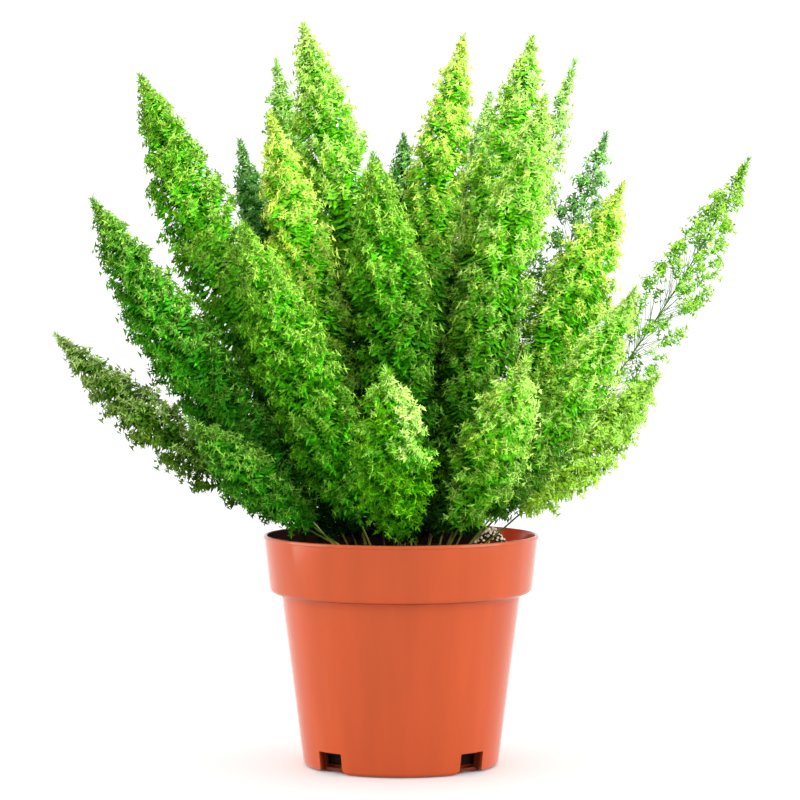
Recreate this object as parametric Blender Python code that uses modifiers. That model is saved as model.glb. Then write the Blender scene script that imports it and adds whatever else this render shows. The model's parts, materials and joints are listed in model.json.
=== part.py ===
"""Potted foxtail fern, as named solids: a plastic nursery pot, its potting mix, a heap of
perlite grains and one solid for each leafy frond.

Metres, +Z up. The origin is the centre of the pot's foot, on the surface that it stands on,
and -Y faces the viewer. Run it with: blender --background --python part.py
"""

import math
import random
from collections import namedtuple

import bmesh
import bpy
from mathutils import Matrix, Vector
from mathutils.kdtree import KDTree

# Pot
POT_HEIGHT = 0.1260
RIM_RADIUS = 0.0750
BAND_HEIGHT = 0.0315
BAND_FOOT_RADIUS = 0.0716
FOOT_RADIUS = 0.0533
SHOULDER_RADIUS = 0.0658
WALL = 0.0016
FLOOR_LIFT = 0.0023
FOOT_RING_INNER = 0.0486
FOOT_FILLET = 0.0030
BAND_FILLET = 0.0030
LIP_FILLET = 0.0006
TURN_STEPS = 36
BAND_Z = POT_HEIGHT - BAND_HEIGHT
WALL_TAPER = (SHOULDER_RADIUS - FOOT_RADIUS) / BAND_Z

# Drainage notches round the foot
NOTCH_AZIMUTHS = (45, 135, 225, 315)
NOTCH_WIDTH = 0.0170
NOTCH_HEIGHT = 0.0115
NOTCH_DEPTH = 0.0050
DRAIN_WIDTH = 0.0110
DRAIN_LOW = 0.0045
DRAIN_HIGH = 0.0100

# Potting mix
GAP = 0.00035
SOIL_TOP = 0.1165
SOIL_EDGE = 0.1130
SOIL_BUMP = 0.0009
SOIL_RINGS = 4

# Perlite heap beside the stems
HEAP_CENTRE = Vector((0.0500, 0.0150))
HEAP_RADIUS = 0.0100
HEAP_HEIGHT = 0.0085
HEAP_SIDES = 9
HEAP_LIFT = 0.0015
GRAIN_RADIUS = 0.0023
GRAIN_COUNT = 18
GRAIN_TURN = math.radians(137.5)
GRAIN_SEED = 11

# Fronds
STEM_SIDES = 3
STEM_RADIUS = 0.0015
CORE_RADIUS = 0.0022
CORE_TIP_RADIUS = 0.0008
BURIED = 0.0110
STATION_SPACING = 0.0085
STATION_TURN = math.radians(60 + 13)
TIP_TAPER = 0.42
FOOT_TAPER = 0.35
HOLE_GAP = 0.0004
NEIGHBOUR_GAP = 0.0022
RIM_CLEARANCE = 0.0025
SOIL_CLEARANCE = 0.0020
HEAP_CLEARANCE = 0.0170
HEAP_MARGIN = 0.0060
SHORTEST_SPIKE = 0.0030
CLEAR_STEPS = (0.3, 0.5, 0.7, 0.85, 1.0)
FROND_SEED = 5

Frond = namedtuple("Frond", "name root tip radius sag bare colour")


def frond(name, root, tip, radius, sag=0.0, bare=26, colour="mid"):
    """A frond in millimetres: where it roots, where it ends, how far its side branchlets
    reach, how far its stem hangs outwards of a straight line, and how much of it is bare."""
    return Frond(
        "frond_" + name, Vector(root) / 1000, Vector(tip) / 1000, radius / 1000,
        sag / 1000, bare / 1000, colour,
    )


FRONDS = (
    frond("far_left", (-28.5, -1), (-188, -20, 237), 17, 6, 38, "deep"),
    frond("left_middle", (-31, -15), (-165, -45, 310), 21, 4, 30),
    frond("left_high", (-27.5, 6.5), (-145, 25, 380), 23, 2),
    frond("left_front_low", (-24, -20), (-112, -88, 194), 16, 3, 34, "deep"),
    frond("front_left", (-13.5, -27), (-81, -105, 295), 23.5, 3),
    frond("upper_left", (-18.5, -7.5), (-70.5, -25, 356), 22, 0, colour="bright"),
    frond("tall_left", (0, 2), (-54.5, 22, 408), 27, -8),
    frond("rear_left_tall", (-18.5, 16), (-70.5, 62, 391), 15, 6, colour="deep"),
    frond("rear_left_dark", (-24, 25.5), (-93, 92, 347), 17, 6, colour="deep"),
    frond("centre", (6, -12), (-15, -50, 334), 24, -4),
    frond("rear_centre", (0.5, 24.5), (1.5, 95, 350), 16, colour="deep"),
    frond("upper_centre", (2, 12), (35, 30, 402), 20, -3, colour="bright"),
    frond("rear_right_pale", (15, 32), (52, 120, 375), 15, colour="deep"),
    frond("tall_right", (15, 6), (73, 25, 401), 25),
    frond("upper_right", (20, -8.5), (77.5, -32, 366), 21, colour="bright"),
    frond("rear_right_thin", (26, 21), (100.5, 85, 397), 13, -4, colour="deep"),
    frond("right_dark", (24, 14), (116, 55, 349), 14, colour="deep"),
    frond("right_bright", (28.5, -3), (121, -15, 319), 21, colour="bright"),
    frond("right_middle", (31, -16.5), (124.5, -62, 263), 16, 6, 30, "bright"),
    frond("far_right", (34, 5), (190, 0, 332), 19, 11.5, 36),
    frond("right_low", (38.5, -10), (140, -32, 216), 15, 3, 32),
    frond("front_small", (-1, -28), (-7, -150, 221), 21.5, 5, 14, "bright"),
    frond("front_right", (23, -25), (65, -102, 226), 21.5, 3, 18, "bright"),
    frond("back_left_low", (-32.5, 21.5), (-136, 95, 250), 20, 6, colour="deep"),
    frond("back_left", (-18.5, 34.5), (-72, 135, 285), 22, 5),
    frond("back_left_high", (-9, 28), (-38, 112, 335), 18, 2),
    frond("back_centre_low", (-3.5, 38.5), (-16, 150, 240), 22, 6),
    frond("back_right", (8.5, 36), (50, 138, 300), 22, 5),
    frond("back_right_low", (25.5, 31.5), (108, 118, 262), 22, 6),
    frond("inner_rear", (8, 19.5), (22, 66, 330), 17),
)

# Colour (linear RGB), roughness and metallic value of each material
FINISHES = {
    "pot_plastic": ((0.64, 0.125, 0.045), 0.38, 0.0),
    "potting_mix": ((0.030, 0.019, 0.012), 0.95, 0.0),
    "perlite": ((0.78, 0.68, 0.50), 0.90, 0.0),
    "frond_bright": ((0.30, 0.52, 0.035), 0.55, 0.0),
    "frond_mid": ((0.13, 0.33, 0.020), 0.55, 0.0),
    "frond_deep": ((0.055, 0.20, 0.018), 0.55, 0.0),
}


def material(name):
    """The named finish as a Principled material, made once."""
    found = bpy.data.materials.get(name)
    if found:
        return found
    colour, roughness, metallic = FINISHES[name]
    made = bpy.data.materials.new(name)
    made.use_nodes = True
    made.diffuse_color = (*colour, 1.0)
    shader = made.node_tree.nodes["Principled BSDF"]
    shader.inputs["Base Color"].default_value = (*colour, 1.0)
    shader.inputs["Roughness"].default_value = roughness
    shader.inputs["Metallic"].default_value = metallic
    return made


def new_object(name, bm, collection, finish=None):
    """A mesh object from a bmesh, which is freed."""
    mesh = bpy.data.meshes.new(name)
    bm.to_mesh(mesh)
    bm.free()
    if finish:
        mesh.materials.append(material(finish))
    made = bpy.data.objects.new(name, mesh)
    collection.objects.link(made)
    return made


def as_cutter(obj):
    """Keeps a helper out of the model."""
    obj.hide_render = True
    obj.display_type = "WIRE"
    return obj


def add_boolean(obj, other, operation, solver="EXACT"):
    """Joins or cuts obj with another object, or with all the objects of a collection."""
    modifier = obj.modifiers.new(operation.lower(), "BOOLEAN")
    modifier.operation = operation
    modifier.solver = solver
    if isinstance(other, bpy.types.Collection):
        modifier.operand_type = "COLLECTION"
        modifier.collection = other
    else:
        modifier.object = other
    return modifier


def freeze(obj):
    """Applies the object's modifiers."""
    graph = bpy.context.evaluated_depsgraph_get()
    mesh = bpy.data.meshes.new_from_object(obj.evaluated_get(graph))
    obj.modifiers.clear()
    obj.data = mesh


def clear_out(collection):
    """Removes a collection and the helpers in it."""
    for obj in list(collection.objects):
        bpy.data.objects.remove(obj)
    bpy.data.collections.remove(collection)


def rounded(corners, steps=2):
    """A profile of (radius, height) points through corners of (radius, height, fillet). A
    fillet of 0 keeps its corner sharp, and any other becomes an arc of that radius."""
    points = []
    for index, (radius, height, fillet) in enumerate(corners):
        here = Vector((radius, height))
        if fillet == 0:
            points.append(here)
            continue
        before = (Vector(corners[index - 1][:2]) - here).normalized()
        after = (Vector(corners[index + 1][:2]) - here).normalized()
        half = before.angle(after) / 2
        centre = here + (before + after).normalized() * (fillet / math.sin(half))
        reach = fillet / math.tan(half)
        start = here + before * reach - centre
        sweep = start.angle_signed(here + after * reach - centre)
        for step in range(steps + 1):
            turn = Matrix.Rotation(-sweep * step / steps, 2)
            points.append(centre + turn @ start)
    return points


def turned(name, profile, collection, finish):
    """A solid of revolution about Z, from a profile whose ends lie on the axis."""
    bm = bmesh.new()
    verts = [bm.verts.new((point.x, 0, point.y)) for point in profile]
    for a, b in zip(verts, verts[1:]):
        bm.edges.new((a, b))
    made = new_object(name, bm, collection, finish)
    screw = made.modifiers.new("turn", "SCREW")
    screw.steps = screw.render_steps = TURN_STEPS
    screw.use_merge_vertices = True
    screw.merge_threshold = 0.00005
    return made


def wall_radius(height):
    """Outer radius of the pot's tapered body."""
    return FOOT_RADIUS + WALL_TAPER * height


def wall_block(name, azimuth, width, inward, outward, low, high, collection):
    """A block along the tapered wall at one azimuth, from inward of its outer face to outward
    of it. The block leans as the wall does."""
    bm = bmesh.new()
    bmesh.ops.create_cube(bm, size=1)
    for vert in bm.verts:
        height = high if vert.co.z > 0 else low
        radius = wall_radius(height) + (outward if vert.co.x > 0 else -inward)
        vert.co = (radius, vert.co.y * width, height)
    turn = Matrix.Rotation(math.radians(azimuth), 4, "Z")
    bmesh.ops.transform(bm, matrix=turn, verts=bm.verts)
    return as_cutter(new_object(name, bm, collection))


def build_pot(parts, cutters):
    """Thin-walled pot with a deep band under its rim, four notches and their drain slots."""
    floor_top = FLOOR_LIFT + WALL
    step_z = BAND_Z - WALL
    corners = [
        (0, floor_top, 0),
        (wall_radius(floor_top) - WALL, floor_top, 0.0015),
        (SHOULDER_RADIUS - WALL, BAND_Z + 0.0004, 0),
        (BAND_FOOT_RADIUS - WALL, BAND_Z + WALL, 0),
        (RIM_RADIUS - WALL, POT_HEIGHT, LIP_FILLET),
        (RIM_RADIUS, POT_HEIGHT, LIP_FILLET),
        (BAND_FOOT_RADIUS, BAND_Z, BAND_FILLET),
        (wall_radius(step_z), step_z + WALL, 0.0008),
        (FOOT_RADIUS, 0, FOOT_FILLET),
        (FOOT_RING_INNER, 0, 0),
        (FOOT_RING_INNER - 0.0007, FLOOR_LIFT, 0),
        (0, FLOOR_LIFT, 0),
    ]
    pot = turned("pot", rounded(corners), parts, "pot_plastic")
    roof = NOTCH_HEIGHT + WALL
    for azimuth in NOTCH_AZIMUTHS:
        width = NOTCH_WIDTH + 2 * WALL
        housing = wall_block(
            "housing", azimuth, width, NOTCH_DEPTH + WALL, -0.001, 0.003, roof, cutters
        )
        add_boolean(pot, housing, "UNION")
    for azimuth in NOTCH_AZIMUTHS:
        notch = wall_block(
            "notch", azimuth, NOTCH_WIDTH, NOTCH_DEPTH, 0.01, -0.01, NOTCH_HEIGHT, cutters
        )
        drain = wall_block(
            "drain", azimuth, DRAIN_WIDTH, NOTCH_DEPTH + 2 * WALL, 0.001,
            DRAIN_LOW, DRAIN_HIGH, cutters,
        )
        add_boolean(pot, notch, "DIFFERENCE")
        add_boolean(pot, drain, "DIFFERENCE")
    freeze(pot)
    pot.data.shade_smooth()
    pot.data.set_sharp_from_angle(angle=math.radians(35))
    return pot


def soil_height(x, y):
    """Height of the potting mix: a low mound with soft lumps."""
    share = math.hypot(x, y) / RIM_RADIUS
    mound = SOIL_TOP + (SOIL_EDGE - SOIL_TOP) * share**2
    lumps = math.sin(210 * x + 1.3) * math.cos(180 * y) + math.sin(330 * (x + y))
    return mound + SOIL_BUMP * lumps / 2


def build_soil(parts, cutters):
    """Potting mix that fills the pot, with a plain hole for each stem."""
    bottom = FLOOR_LIFT + WALL + GAP
    gap = WALL + GAP
    edge = RIM_RADIUS - gap - (POT_HEIGHT - SOIL_EDGE) * (
        (RIM_RADIUS - BAND_FOOT_RADIUS) / BAND_HEIGHT
    )
    top = [
        Vector((edge * ring / SOIL_RINGS, SOIL_EDGE)) for ring in range(SOIL_RINGS + 1)
    ]
    side = [
        Vector((BAND_FOOT_RADIUS - gap, BAND_Z + gap)),
        Vector((SHOULDER_RADIUS - gap, BAND_Z + 0.0004 + GAP)),
        Vector((wall_radius(bottom) - gap - 0.001, bottom)),
        Vector((0, bottom)),
    ]
    soil = turned("potting_mix", top + side, parts, "potting_mix")
    freeze(soil)
    for vert in soil.data.vertices:
        if vert.co.z > SOIL_EDGE - 0.0001:
            vert.co.z = soil_height(vert.co.x, vert.co.y)
    for azimuth in NOTCH_AZIMUTHS:
        room = wall_block(
            "housing_room", azimuth, NOTCH_WIDTH + 2 * gap, NOTCH_DEPTH + gap, 0.01,
            -0.01, NOTCH_HEIGHT + gap, cutters,
        )
        add_boolean(soil, room, "DIFFERENCE")
    holes = bpy.data.collections.new("stem_holes")
    cutters.children.link(holes)
    for item in FRONDS:
        stem_hole(item, holes)
    add_boolean(soil, holes, "DIFFERENCE")
    freeze(soil)
    return soil


def stem_hole(item, holes):
    """Cutter for the plain hole that a stem stands in."""
    root, way = stem_point(item, 0), stem_direction(item, 0)
    bm = bmesh.new()
    radius = STEM_RADIUS + HOLE_GAP
    depth = 2 * (BURIED + GAP)
    bmesh.ops.create_cone(
        bm, cap_ends=True, segments=6, radius1=radius, radius2=radius, depth=depth
    )
    turn = way.to_track_quat("Z", "Y").to_matrix().to_4x4()
    bmesh.ops.transform(bm, matrix=Matrix.Translation(root) @ turn, verts=bm.verts)
    as_cutter(new_object("stem_hole", bm, holes))


def build_perlite(parts):
    """A heap of perlite grains, grown together where they touch, on the potting mix."""
    draw = random.Random(GRAIN_SEED)
    grains = bpy.data.collections.new("grains")
    bpy.context.scene.collection.children.link(grains)
    for index in range(GRAIN_COUNT):
        share = math.sqrt((index + 0.5) / GRAIN_COUNT)
        turn = index * GRAIN_TURN
        x = HEAP_CENTRE.x + HEAP_RADIUS * share * math.cos(turn)
        y = HEAP_CENTRE.y + HEAP_RADIUS * share * math.sin(turn)
        z = soil_height(x, y) + HEAP_HEIGHT * (1 - share**2)
        bm = bmesh.new()
        bmesh.ops.create_icosphere(bm, subdivisions=1, radius=GRAIN_RADIUS)
        spin = Matrix.Rotation(draw.uniform(0, math.tau), 4, (draw.random(), draw.random(), 1))
        stretch = Matrix.Diagonal((draw.uniform(0.8, 1.2), draw.uniform(0.8, 1.2), 0.85, 1))
        place = Matrix.Translation((x, y, z + GRAIN_RADIUS + GAP))
        bmesh.ops.transform(bm, matrix=place @ spin @ stretch, verts=bm.verts)
        new_object("grain", bm, grains)
    bm = bmesh.new()
    base = soil_height(*HEAP_CENTRE) + HEAP_LIFT
    bmesh.ops.create_cone(
        bm, cap_ends=True, segments=HEAP_SIDES, radius1=HEAP_RADIUS, radius2=HEAP_RADIUS / 3,
        depth=HEAP_HEIGHT,
    )
    place = Matrix.Translation((*HEAP_CENTRE, base + HEAP_HEIGHT / 2))
    bmesh.ops.transform(bm, matrix=place, verts=bm.verts)
    heap = new_object("perlite_heap", bm, parts, "perlite")
    add_boolean(heap, grains, "UNION")
    freeze(heap)
    clear_out(grains)
    return heap


def sag_direction(item):
    """Unit vector square to the line from root to tip, pointing outwards and down."""
    root = Vector((*item.root, soil_height(*item.root)))
    along = (item.tip - root).normalized()
    outwards = Vector((item.tip.x, item.tip.y, 0)).normalized()
    return (outwards - along * outwards.dot(along)).normalized()


def stem_point(item, share):
    """Point of the stem's axis, from share 0 at the soil to 1 at the tip."""
    root = Vector((*item.root, soil_height(*item.root)))
    return root.lerp(item.tip, share) + sag_direction(item) * (4 * share * (1 - share) * item.sag)


def stem_direction(item, share):
    """Unit vector along the stem, towards its tip."""
    root = Vector((*item.root, soil_height(*item.root)))
    return ((item.tip - root) + sag_direction(item) * (4 * (1 - 2 * share) * item.sag)).normalized()


def stem_length(item):
    """Length of the stem above the soil."""
    points = [stem_point(item, step / 20) for step in range(21)]
    return sum((b - a).length for a, b in zip(points, points[1:]))


def stem_axes(item, share):
    """Two unit vectors square to the stem and to each other."""
    way = stem_direction(item, share)
    across = sag_direction(item).cross(way).normalized()
    return across, way.cross(across)


def fullness(item, share):
    """Reach of the side branchlets at one place, as a share of the plume's widest radius."""
    taper = math.sin(math.pi / 2 * min(1, max(0, 1 - share) / TIP_TAPER)) ** 0.85
    leafy = max(0, share - item.bare / stem_length(item))
    return taper * (0.3 + 0.7 * math.sin(math.pi / 2 * min(1, leafy / FOOT_TAPER)))


def branchlet_reach(item, share, rise):
    """Reach of a branchlet that starts at one place and ends on the plume's outside, which it
    meets further up the stem the steeper it rises."""
    length = stem_length(item)
    reach = 0
    for _ in range(6):
        reach = item.radius * fullness(item, share + reach * math.tan(rise) / length)
    return reach


def neighbour_trees():
    """For each frond, the points of every other stem, for telling what lies nearest."""
    samples = {
        item.name: [stem_point(item, step / 50) for step in range(-2, 51)] for item in FRONDS
    }
    trees = {}
    for item in FRONDS:
        others = [p for name, points in samples.items() if name != item.name for p in points]
        tree = KDTree(len(others))
        for index, point in enumerate(others):
            tree.insert(point, index)
        tree.balance()
        trees[item.name] = tree
    return trees


def is_clear(point, reach, tree):
    """Whether a point at that reach from its own stem is clear of the other fronds, the pot
    and the potting mix. A frond keeps the space that lies nearer to its stem than to others."""
    if tree.find(point)[2] < reach + NEIGHBOUR_GAP:
        return False
    out = math.hypot(point.x, point.y)
    if out > RIM_RADIUS - WALL - RIM_CLEARANCE:
        return point.z > POT_HEIGHT + RIM_CLEARANCE
    near_heap = (point.xy - HEAP_CENTRE).length < HEAP_RADIUS + HEAP_MARGIN
    clearance = HEAP_CLEARANCE if near_heap else SOIL_CLEARANCE
    return point.z > soil_height(point.x, point.y) + clearance


def spike_tip(item, base, share, outward, rise, reach, tree):
    """End of a side branchlet that grows outwards and up from a point on the stem, shortened
    until all of it is clear."""
    way = stem_direction(item, share)
    slope = outward * math.cos(rise) + way * math.sin(rise)
    while reach > SHORTEST_SPIKE:
        outs = [reach * part for part in CLEAR_STEPS]
        if all(is_clear(base + slope * (out / math.cos(rise)), out, tree) for out in outs):
            break
        reach *= 0.92
    return base + slope * (max(reach, SHORTEST_SPIKE) / math.cos(rise))


def stem_stations(item):
    """The places where the stem's rings lie, as shares of its length, and the first leafy one."""
    length = stem_length(item)
    bare = item.bare / length
    count = round((length - item.bare) / STATION_SPACING)
    stations = [-BURIED / length, 0.0]
    first = len(stations)
    stations += [bare + (1 - bare) * step / count for step in range(count)]
    return stations, first


def buried_point(item, share):
    """Point of the axis, which runs on straight below the soil."""
    if share >= 0:
        return stem_point(item, share)
    return stem_point(item, 0) + stem_direction(item, 0) * (share * stem_length(item))


def build_frond(item, tree, parts, draw):
    """One frond: a three-sided stem whose leafy stretch is a slim core, and each facet of
    that core raised into a side branchlet."""
    stations, first = stem_stations(item)
    bare = stations[first]
    bm = bmesh.new()
    bmesh.ops.create_cone(
        bm, cap_ends=True, segments=STEM_SIDES, radius1=1, radius2=1, depth=1
    )
    upright = [e for e in bm.edges if abs(e.verts[0].co.z - e.verts[1].co.z) > 0.5]
    bmesh.ops.subdivide_edges(
        bm, edges=upright, cuts=len(stations) - 2, use_grid_fill=True
    )
    for vert in bm.verts:
        step = round((vert.co.z + 0.5) * (len(stations) - 1))
        share = stations[step]
        turn = math.atan2(vert.co.y, vert.co.x) + step * STATION_TURN
        across, up = stem_axes(item, max(0, share))
        core = CORE_RADIUS + (CORE_TIP_RADIUS - CORE_RADIUS) * max(0, share)
        radius = STEM_RADIUS if step < first else core
        vert.co = buried_point(item, share) + radius * (
            across * math.cos(turn) + up * math.sin(turn)
        )
    bmesh.ops.triangulate(bm, faces=bm.faces, quad_method="SHORT_EDGE")
    bm.normal_update()
    raise_branchlets(bm, item, bare, tree, draw)
    return new_object(item.name, bm, parts, "frond_" + item.colour)


def raise_branchlets(bm, item, bare, tree, draw):
    """Raises every facet of the leafy core into a side branchlet, and the last into the tip."""
    root = stem_point(item, 0)
    span = (item.tip - root).length
    for face in list(bm.faces):
        middle = face.calc_center_median()
        share = (middle - root).dot((item.tip - root).normalized()) / span
        way = stem_direction(item, min(1, max(0, share)))
        axis = stem_point(item, min(1, max(0, share)))
        if abs(face.normal.dot(way)) > 0.9:
            if share > 0.5:
                tip = bmesh.ops.poke(bm, faces=[face])["verts"][0]
                tip.co = item.tip
            continue
        if share < bare:
            continue
        outward = middle - axis
        outward = (outward - way * outward.dot(way)).normalized()
        swing = Matrix.Rotation(math.radians(draw.uniform(-5, 5)), 3, way)
        rise = math.radians(40 + 20 * share + draw.uniform(-3, 3))
        reach = branchlet_reach(item, share, rise) * draw.uniform(0.86, 1.06)
        end = spike_tip(item, axis, share, swing @ outward, rise, reach, tree)
        vert = bmesh.ops.poke(bm, faces=[face])["verts"][0]
        vert.co = end


def main():
    """Builds every part into one collection."""
    for obj in list(bpy.data.objects):
        bpy.data.objects.remove(obj)
    scene = bpy.context.scene.collection
    parts = bpy.data.collections.new("potted_foxtail_fern")
    cutters = bpy.data.collections.new("cutters")
    scene.children.link(parts)
    scene.children.link(cutters)
    build_pot(parts, cutters)
    build_soil(parts, cutters)
    build_perlite(parts)
    trees = neighbour_trees()
    draw = random.Random(FROND_SEED)
    for item in FRONDS:
        build_frond(item, trees[item.name], parts, draw)
    clear_out(cutters.children["stem_holes"])
    clear_out(cutters)


main()
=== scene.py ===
"""Looks of the potted foxtail fern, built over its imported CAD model.

The pot, its potting mix, the perlite on it and every frond are dressed pieces that stand for
the CAD solids of the same places. Metres, +Z up, and -Y faces the viewer.
"""

import json
import logging
import math
import random
from dataclasses import dataclass, field
from enum import Enum

import bmesh
import bpy
import numpy as np
from mathutils import Matrix, Vector, noise

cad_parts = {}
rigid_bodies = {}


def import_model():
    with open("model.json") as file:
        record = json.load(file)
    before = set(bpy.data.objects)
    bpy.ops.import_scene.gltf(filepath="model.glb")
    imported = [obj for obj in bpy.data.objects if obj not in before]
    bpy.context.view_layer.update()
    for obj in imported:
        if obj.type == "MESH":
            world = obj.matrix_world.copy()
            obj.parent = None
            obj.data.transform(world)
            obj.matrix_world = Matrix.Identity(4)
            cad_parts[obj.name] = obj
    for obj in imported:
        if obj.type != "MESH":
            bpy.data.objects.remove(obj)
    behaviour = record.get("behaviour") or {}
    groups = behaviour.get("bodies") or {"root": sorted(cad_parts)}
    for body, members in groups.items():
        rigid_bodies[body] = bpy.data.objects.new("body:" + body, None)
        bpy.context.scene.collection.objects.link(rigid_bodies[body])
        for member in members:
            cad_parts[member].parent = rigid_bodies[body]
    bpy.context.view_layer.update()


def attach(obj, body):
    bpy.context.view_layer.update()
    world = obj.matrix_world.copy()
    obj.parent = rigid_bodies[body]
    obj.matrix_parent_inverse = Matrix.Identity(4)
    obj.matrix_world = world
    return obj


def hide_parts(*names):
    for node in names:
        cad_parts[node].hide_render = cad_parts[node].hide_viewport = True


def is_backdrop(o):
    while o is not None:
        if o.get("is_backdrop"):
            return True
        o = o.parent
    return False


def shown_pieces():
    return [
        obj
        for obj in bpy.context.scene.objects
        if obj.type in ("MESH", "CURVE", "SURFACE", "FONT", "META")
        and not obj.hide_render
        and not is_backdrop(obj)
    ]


LOG = logging.getLogger("potted_foxtail_fern")
BODY = "root"
GOLDEN_TURN = math.radians(137.508)
MM = 0.001
MERGE_GAP = 0.00001

Colour = tuple[float, float, float]
Span = tuple[float, float]
Corners = tuple[tuple[float, float, float], ...]
Stops = tuple[tuple[float, Colour], ...]
PLAIN: Colour = (1.0, 1.0, 1.0)
# Nearly all of a noise pattern's values lie in this part of its range
NOISE_PART: Span = (0.3, 0.7)


# Materials


class Board:
    """A material's node tree, with one short method for each kind of node it needs."""

    def __init__(self, name: str) -> None:
        """Starts an empty material.

        Args:
            name: The material's name.
        """
        self.material = bpy.data.materials.new(name)
        self.material.use_nodes = True
        self.tree = self.material.node_tree
        self.tree.nodes.clear()
        self.output = self.tree.nodes.new("ShaderNodeOutputMaterial")

    def add(self, kind: str, **inputs: object) -> bpy.types.Node:
        """Adds a node.

        Args:
            kind: Blender's name of the node.
            inputs: A constant or a socket for each input, by its name with "_" for a space.

        Returns:
            The node.
        """
        node = self.tree.nodes.new(kind)
        for name, value in inputs.items():
            self.feed(node.inputs[name.replace("_", " ")], value)
        return node

    def feed(self, socket: bpy.types.NodeSocket, value: object) -> None:
        """Gives an input its value.

        Args:
            socket: The input.
            value: A socket to link, or a constant.
        """
        if isinstance(value, bpy.types.NodeSocket):
            self.tree.links.new(value, socket)
        elif isinstance(value, tuple) and len(value) == 3 and socket.type == "RGBA":
            socket.default_value = (*value, 1.0)
        else:
            socket.default_value = value

    def place(self) -> bpy.types.NodeSocket:
        """Object coordinates."""
        return self.tree.nodes.new("ShaderNodeTexCoord").outputs["Object"]

    def attribute(self, name: str) -> bpy.types.NodeSocket:
        """The value of a float attribute of the mesh.

        Args:
            name: The attribute's name.

        Returns:
            The value.
        """
        node = self.tree.nodes.new("ShaderNodeAttribute")
        node.attribute_name = name
        return node.outputs["Fac"]

    def noise(
        self,
        scale: float,
        detail: float = 2.0,
        roughness: float = 0.5,
        stretch: tuple[float, float, float] = (1.0, 1.0, 1.0),
    ) -> bpy.types.NodeSocket:
        """A noise pattern.

        Args:
            scale: Cells per metre.
            detail: Number of finer layers.
            roughness: Strength of the finer layers.
            stretch: How much finer the pattern is along each axis.

        Returns:
            The pattern, from 0 to 1.
        """
        place = self.place()
        if stretch != (1.0, 1.0, 1.0):
            place = self.add("ShaderNodeMapping", Vector=place, Scale=stretch).outputs["Vector"]
        node = self.add(
            "ShaderNodeTexNoise",
            Vector=place,
            Scale=scale,
            Detail=detail,
            Roughness=roughness,
        )
        return node.outputs["Fac"]

    def ramp(self, factor: bpy.types.NodeSocket, stops: Stops) -> bpy.types.NodeSocket:
        """Colours along a factor.

        Args:
            factor: The value that picks the colour.
            stops: Each place from 0 to 1 with its colour.

        Returns:
            The colour.
        """
        node = self.add("ShaderNodeValToRGB", Fac=factor)
        elements = node.color_ramp.elements
        while len(elements) < len(stops):
            elements.new(0.5)
        for element, (position, colour) in zip(elements, stops):
            element.position = position
            element.color = (*colour, 1.0)
        return node.outputs["Color"]

    def spread(
        self,
        value: bpy.types.NodeSocket,
        low: float,
        high: float,
        start: float = 0.0,
        end: float = 1.0,
    ) -> bpy.types.NodeSocket:
        """Maps a value from one range to another.

        Args:
            value: The value.
            low: Its lowest value.
            high: Its highest value.
            start: What low becomes.
            end: What high becomes.

        Returns:
            The mapped value.
        """
        node = self.tree.nodes.new("ShaderNodeMapRange")
        for name, number in (
            ("From Min", low),
            ("From Max", high),
            ("To Min", start),
            ("To Max", end),
        ):
            node.inputs[name].default_value = number
        self.feed(node.inputs["Value"], value)
        return node.outputs["Result"]

    def mix(
        self, factor: object, first: object, second: object, blend: str = "MIX"
    ) -> bpy.types.NodeSocket:
        """Blends two colours.

        Args:
            factor: Share of the second.
            first: The first colour.
            second: The second colour.
            blend: Blender's name of the way they blend.

        Returns:
            The colour.
        """
        node = self.tree.nodes.new("ShaderNodeMix")
        node.data_type = "RGBA"
        node.blend_type = blend
        self.feed(node.inputs[0], factor)
        self.feed(node.inputs[6], first)
        self.feed(node.inputs[7], second)
        return node.outputs[2]

    def joined(
        self, kind: str, operation: str, first: object, second: object, place: int | str = 1
    ) -> bpy.types.NodeSocket:
        """Joins two values by an operation.

        Args:
            kind: Blender's name of the node.
            operation: Blender's name of the operation.
            first: The first value.
            second: The second value.
            place: The input that takes the second value.

        Returns:
            The result.
        """
        node = self.tree.nodes.new(kind)
        node.operation = operation
        self.feed(node.inputs[0], first)
        self.feed(node.inputs[place], second)
        return node.outputs[0]

    def times(self, first: bpy.types.NodeSocket, second: object) -> bpy.types.NodeSocket:
        """The product of two values."""
        return self.joined("ShaderNodeMath", "MULTIPLY", first, second)

    def scaled(self, colour: object, value: bpy.types.NodeSocket) -> bpy.types.NodeSocket:
        """A colour times a value."""
        return self.joined("ShaderNodeVectorMath", "SCALE", colour, value, "Scale")

    def tinted(
        self, colour: object, factor: bpy.types.NodeSocket, low: Colour, high: Colour
    ) -> bpy.types.NodeSocket:
        """A colour times a tint.

        Args:
            colour: The colour.
            factor: A value from 0 to 1.
            low: The tint where it is 0.
            high: The tint where it is 1.

        Returns:
            The product.
        """
        return self.mix(1.0, colour, self.mix(factor, low, high), "MULTIPLY")

    def capped(self, colour: bpy.types.NodeSocket, most: Colour) -> bpy.types.NodeSocket:
        """A colour that is nowhere lighter than another, channel by channel."""
        return self.joined("ShaderNodeVectorMath", "MINIMUM", colour, most)

    def bump(self, height: bpy.types.NodeSocket, depth: float) -> bpy.types.NodeSocket:
        """A surface normal for a relief.

        Args:
            height: The relief, from 0 to 1.
            depth: Its depth in metres.

        Returns:
            The normal.
        """
        node = self.add("ShaderNodeBump", Height=height, Strength=1.0, Distance=depth)
        return node.outputs["Normal"]

    def surface(self, **inputs: object) -> bpy.types.Node:
        """Adds the main shader, whose inputs are given as for add."""
        return self.add("ShaderNodeBsdfPrincipled", **inputs)

    def finish(self, shader: bpy.types.Node) -> bpy.types.Material:
        """Joins a shader to the material's output, and returns the material."""
        self.tree.links.new(shader.outputs[0], self.output.inputs["Surface"])
        return self.material


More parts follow.
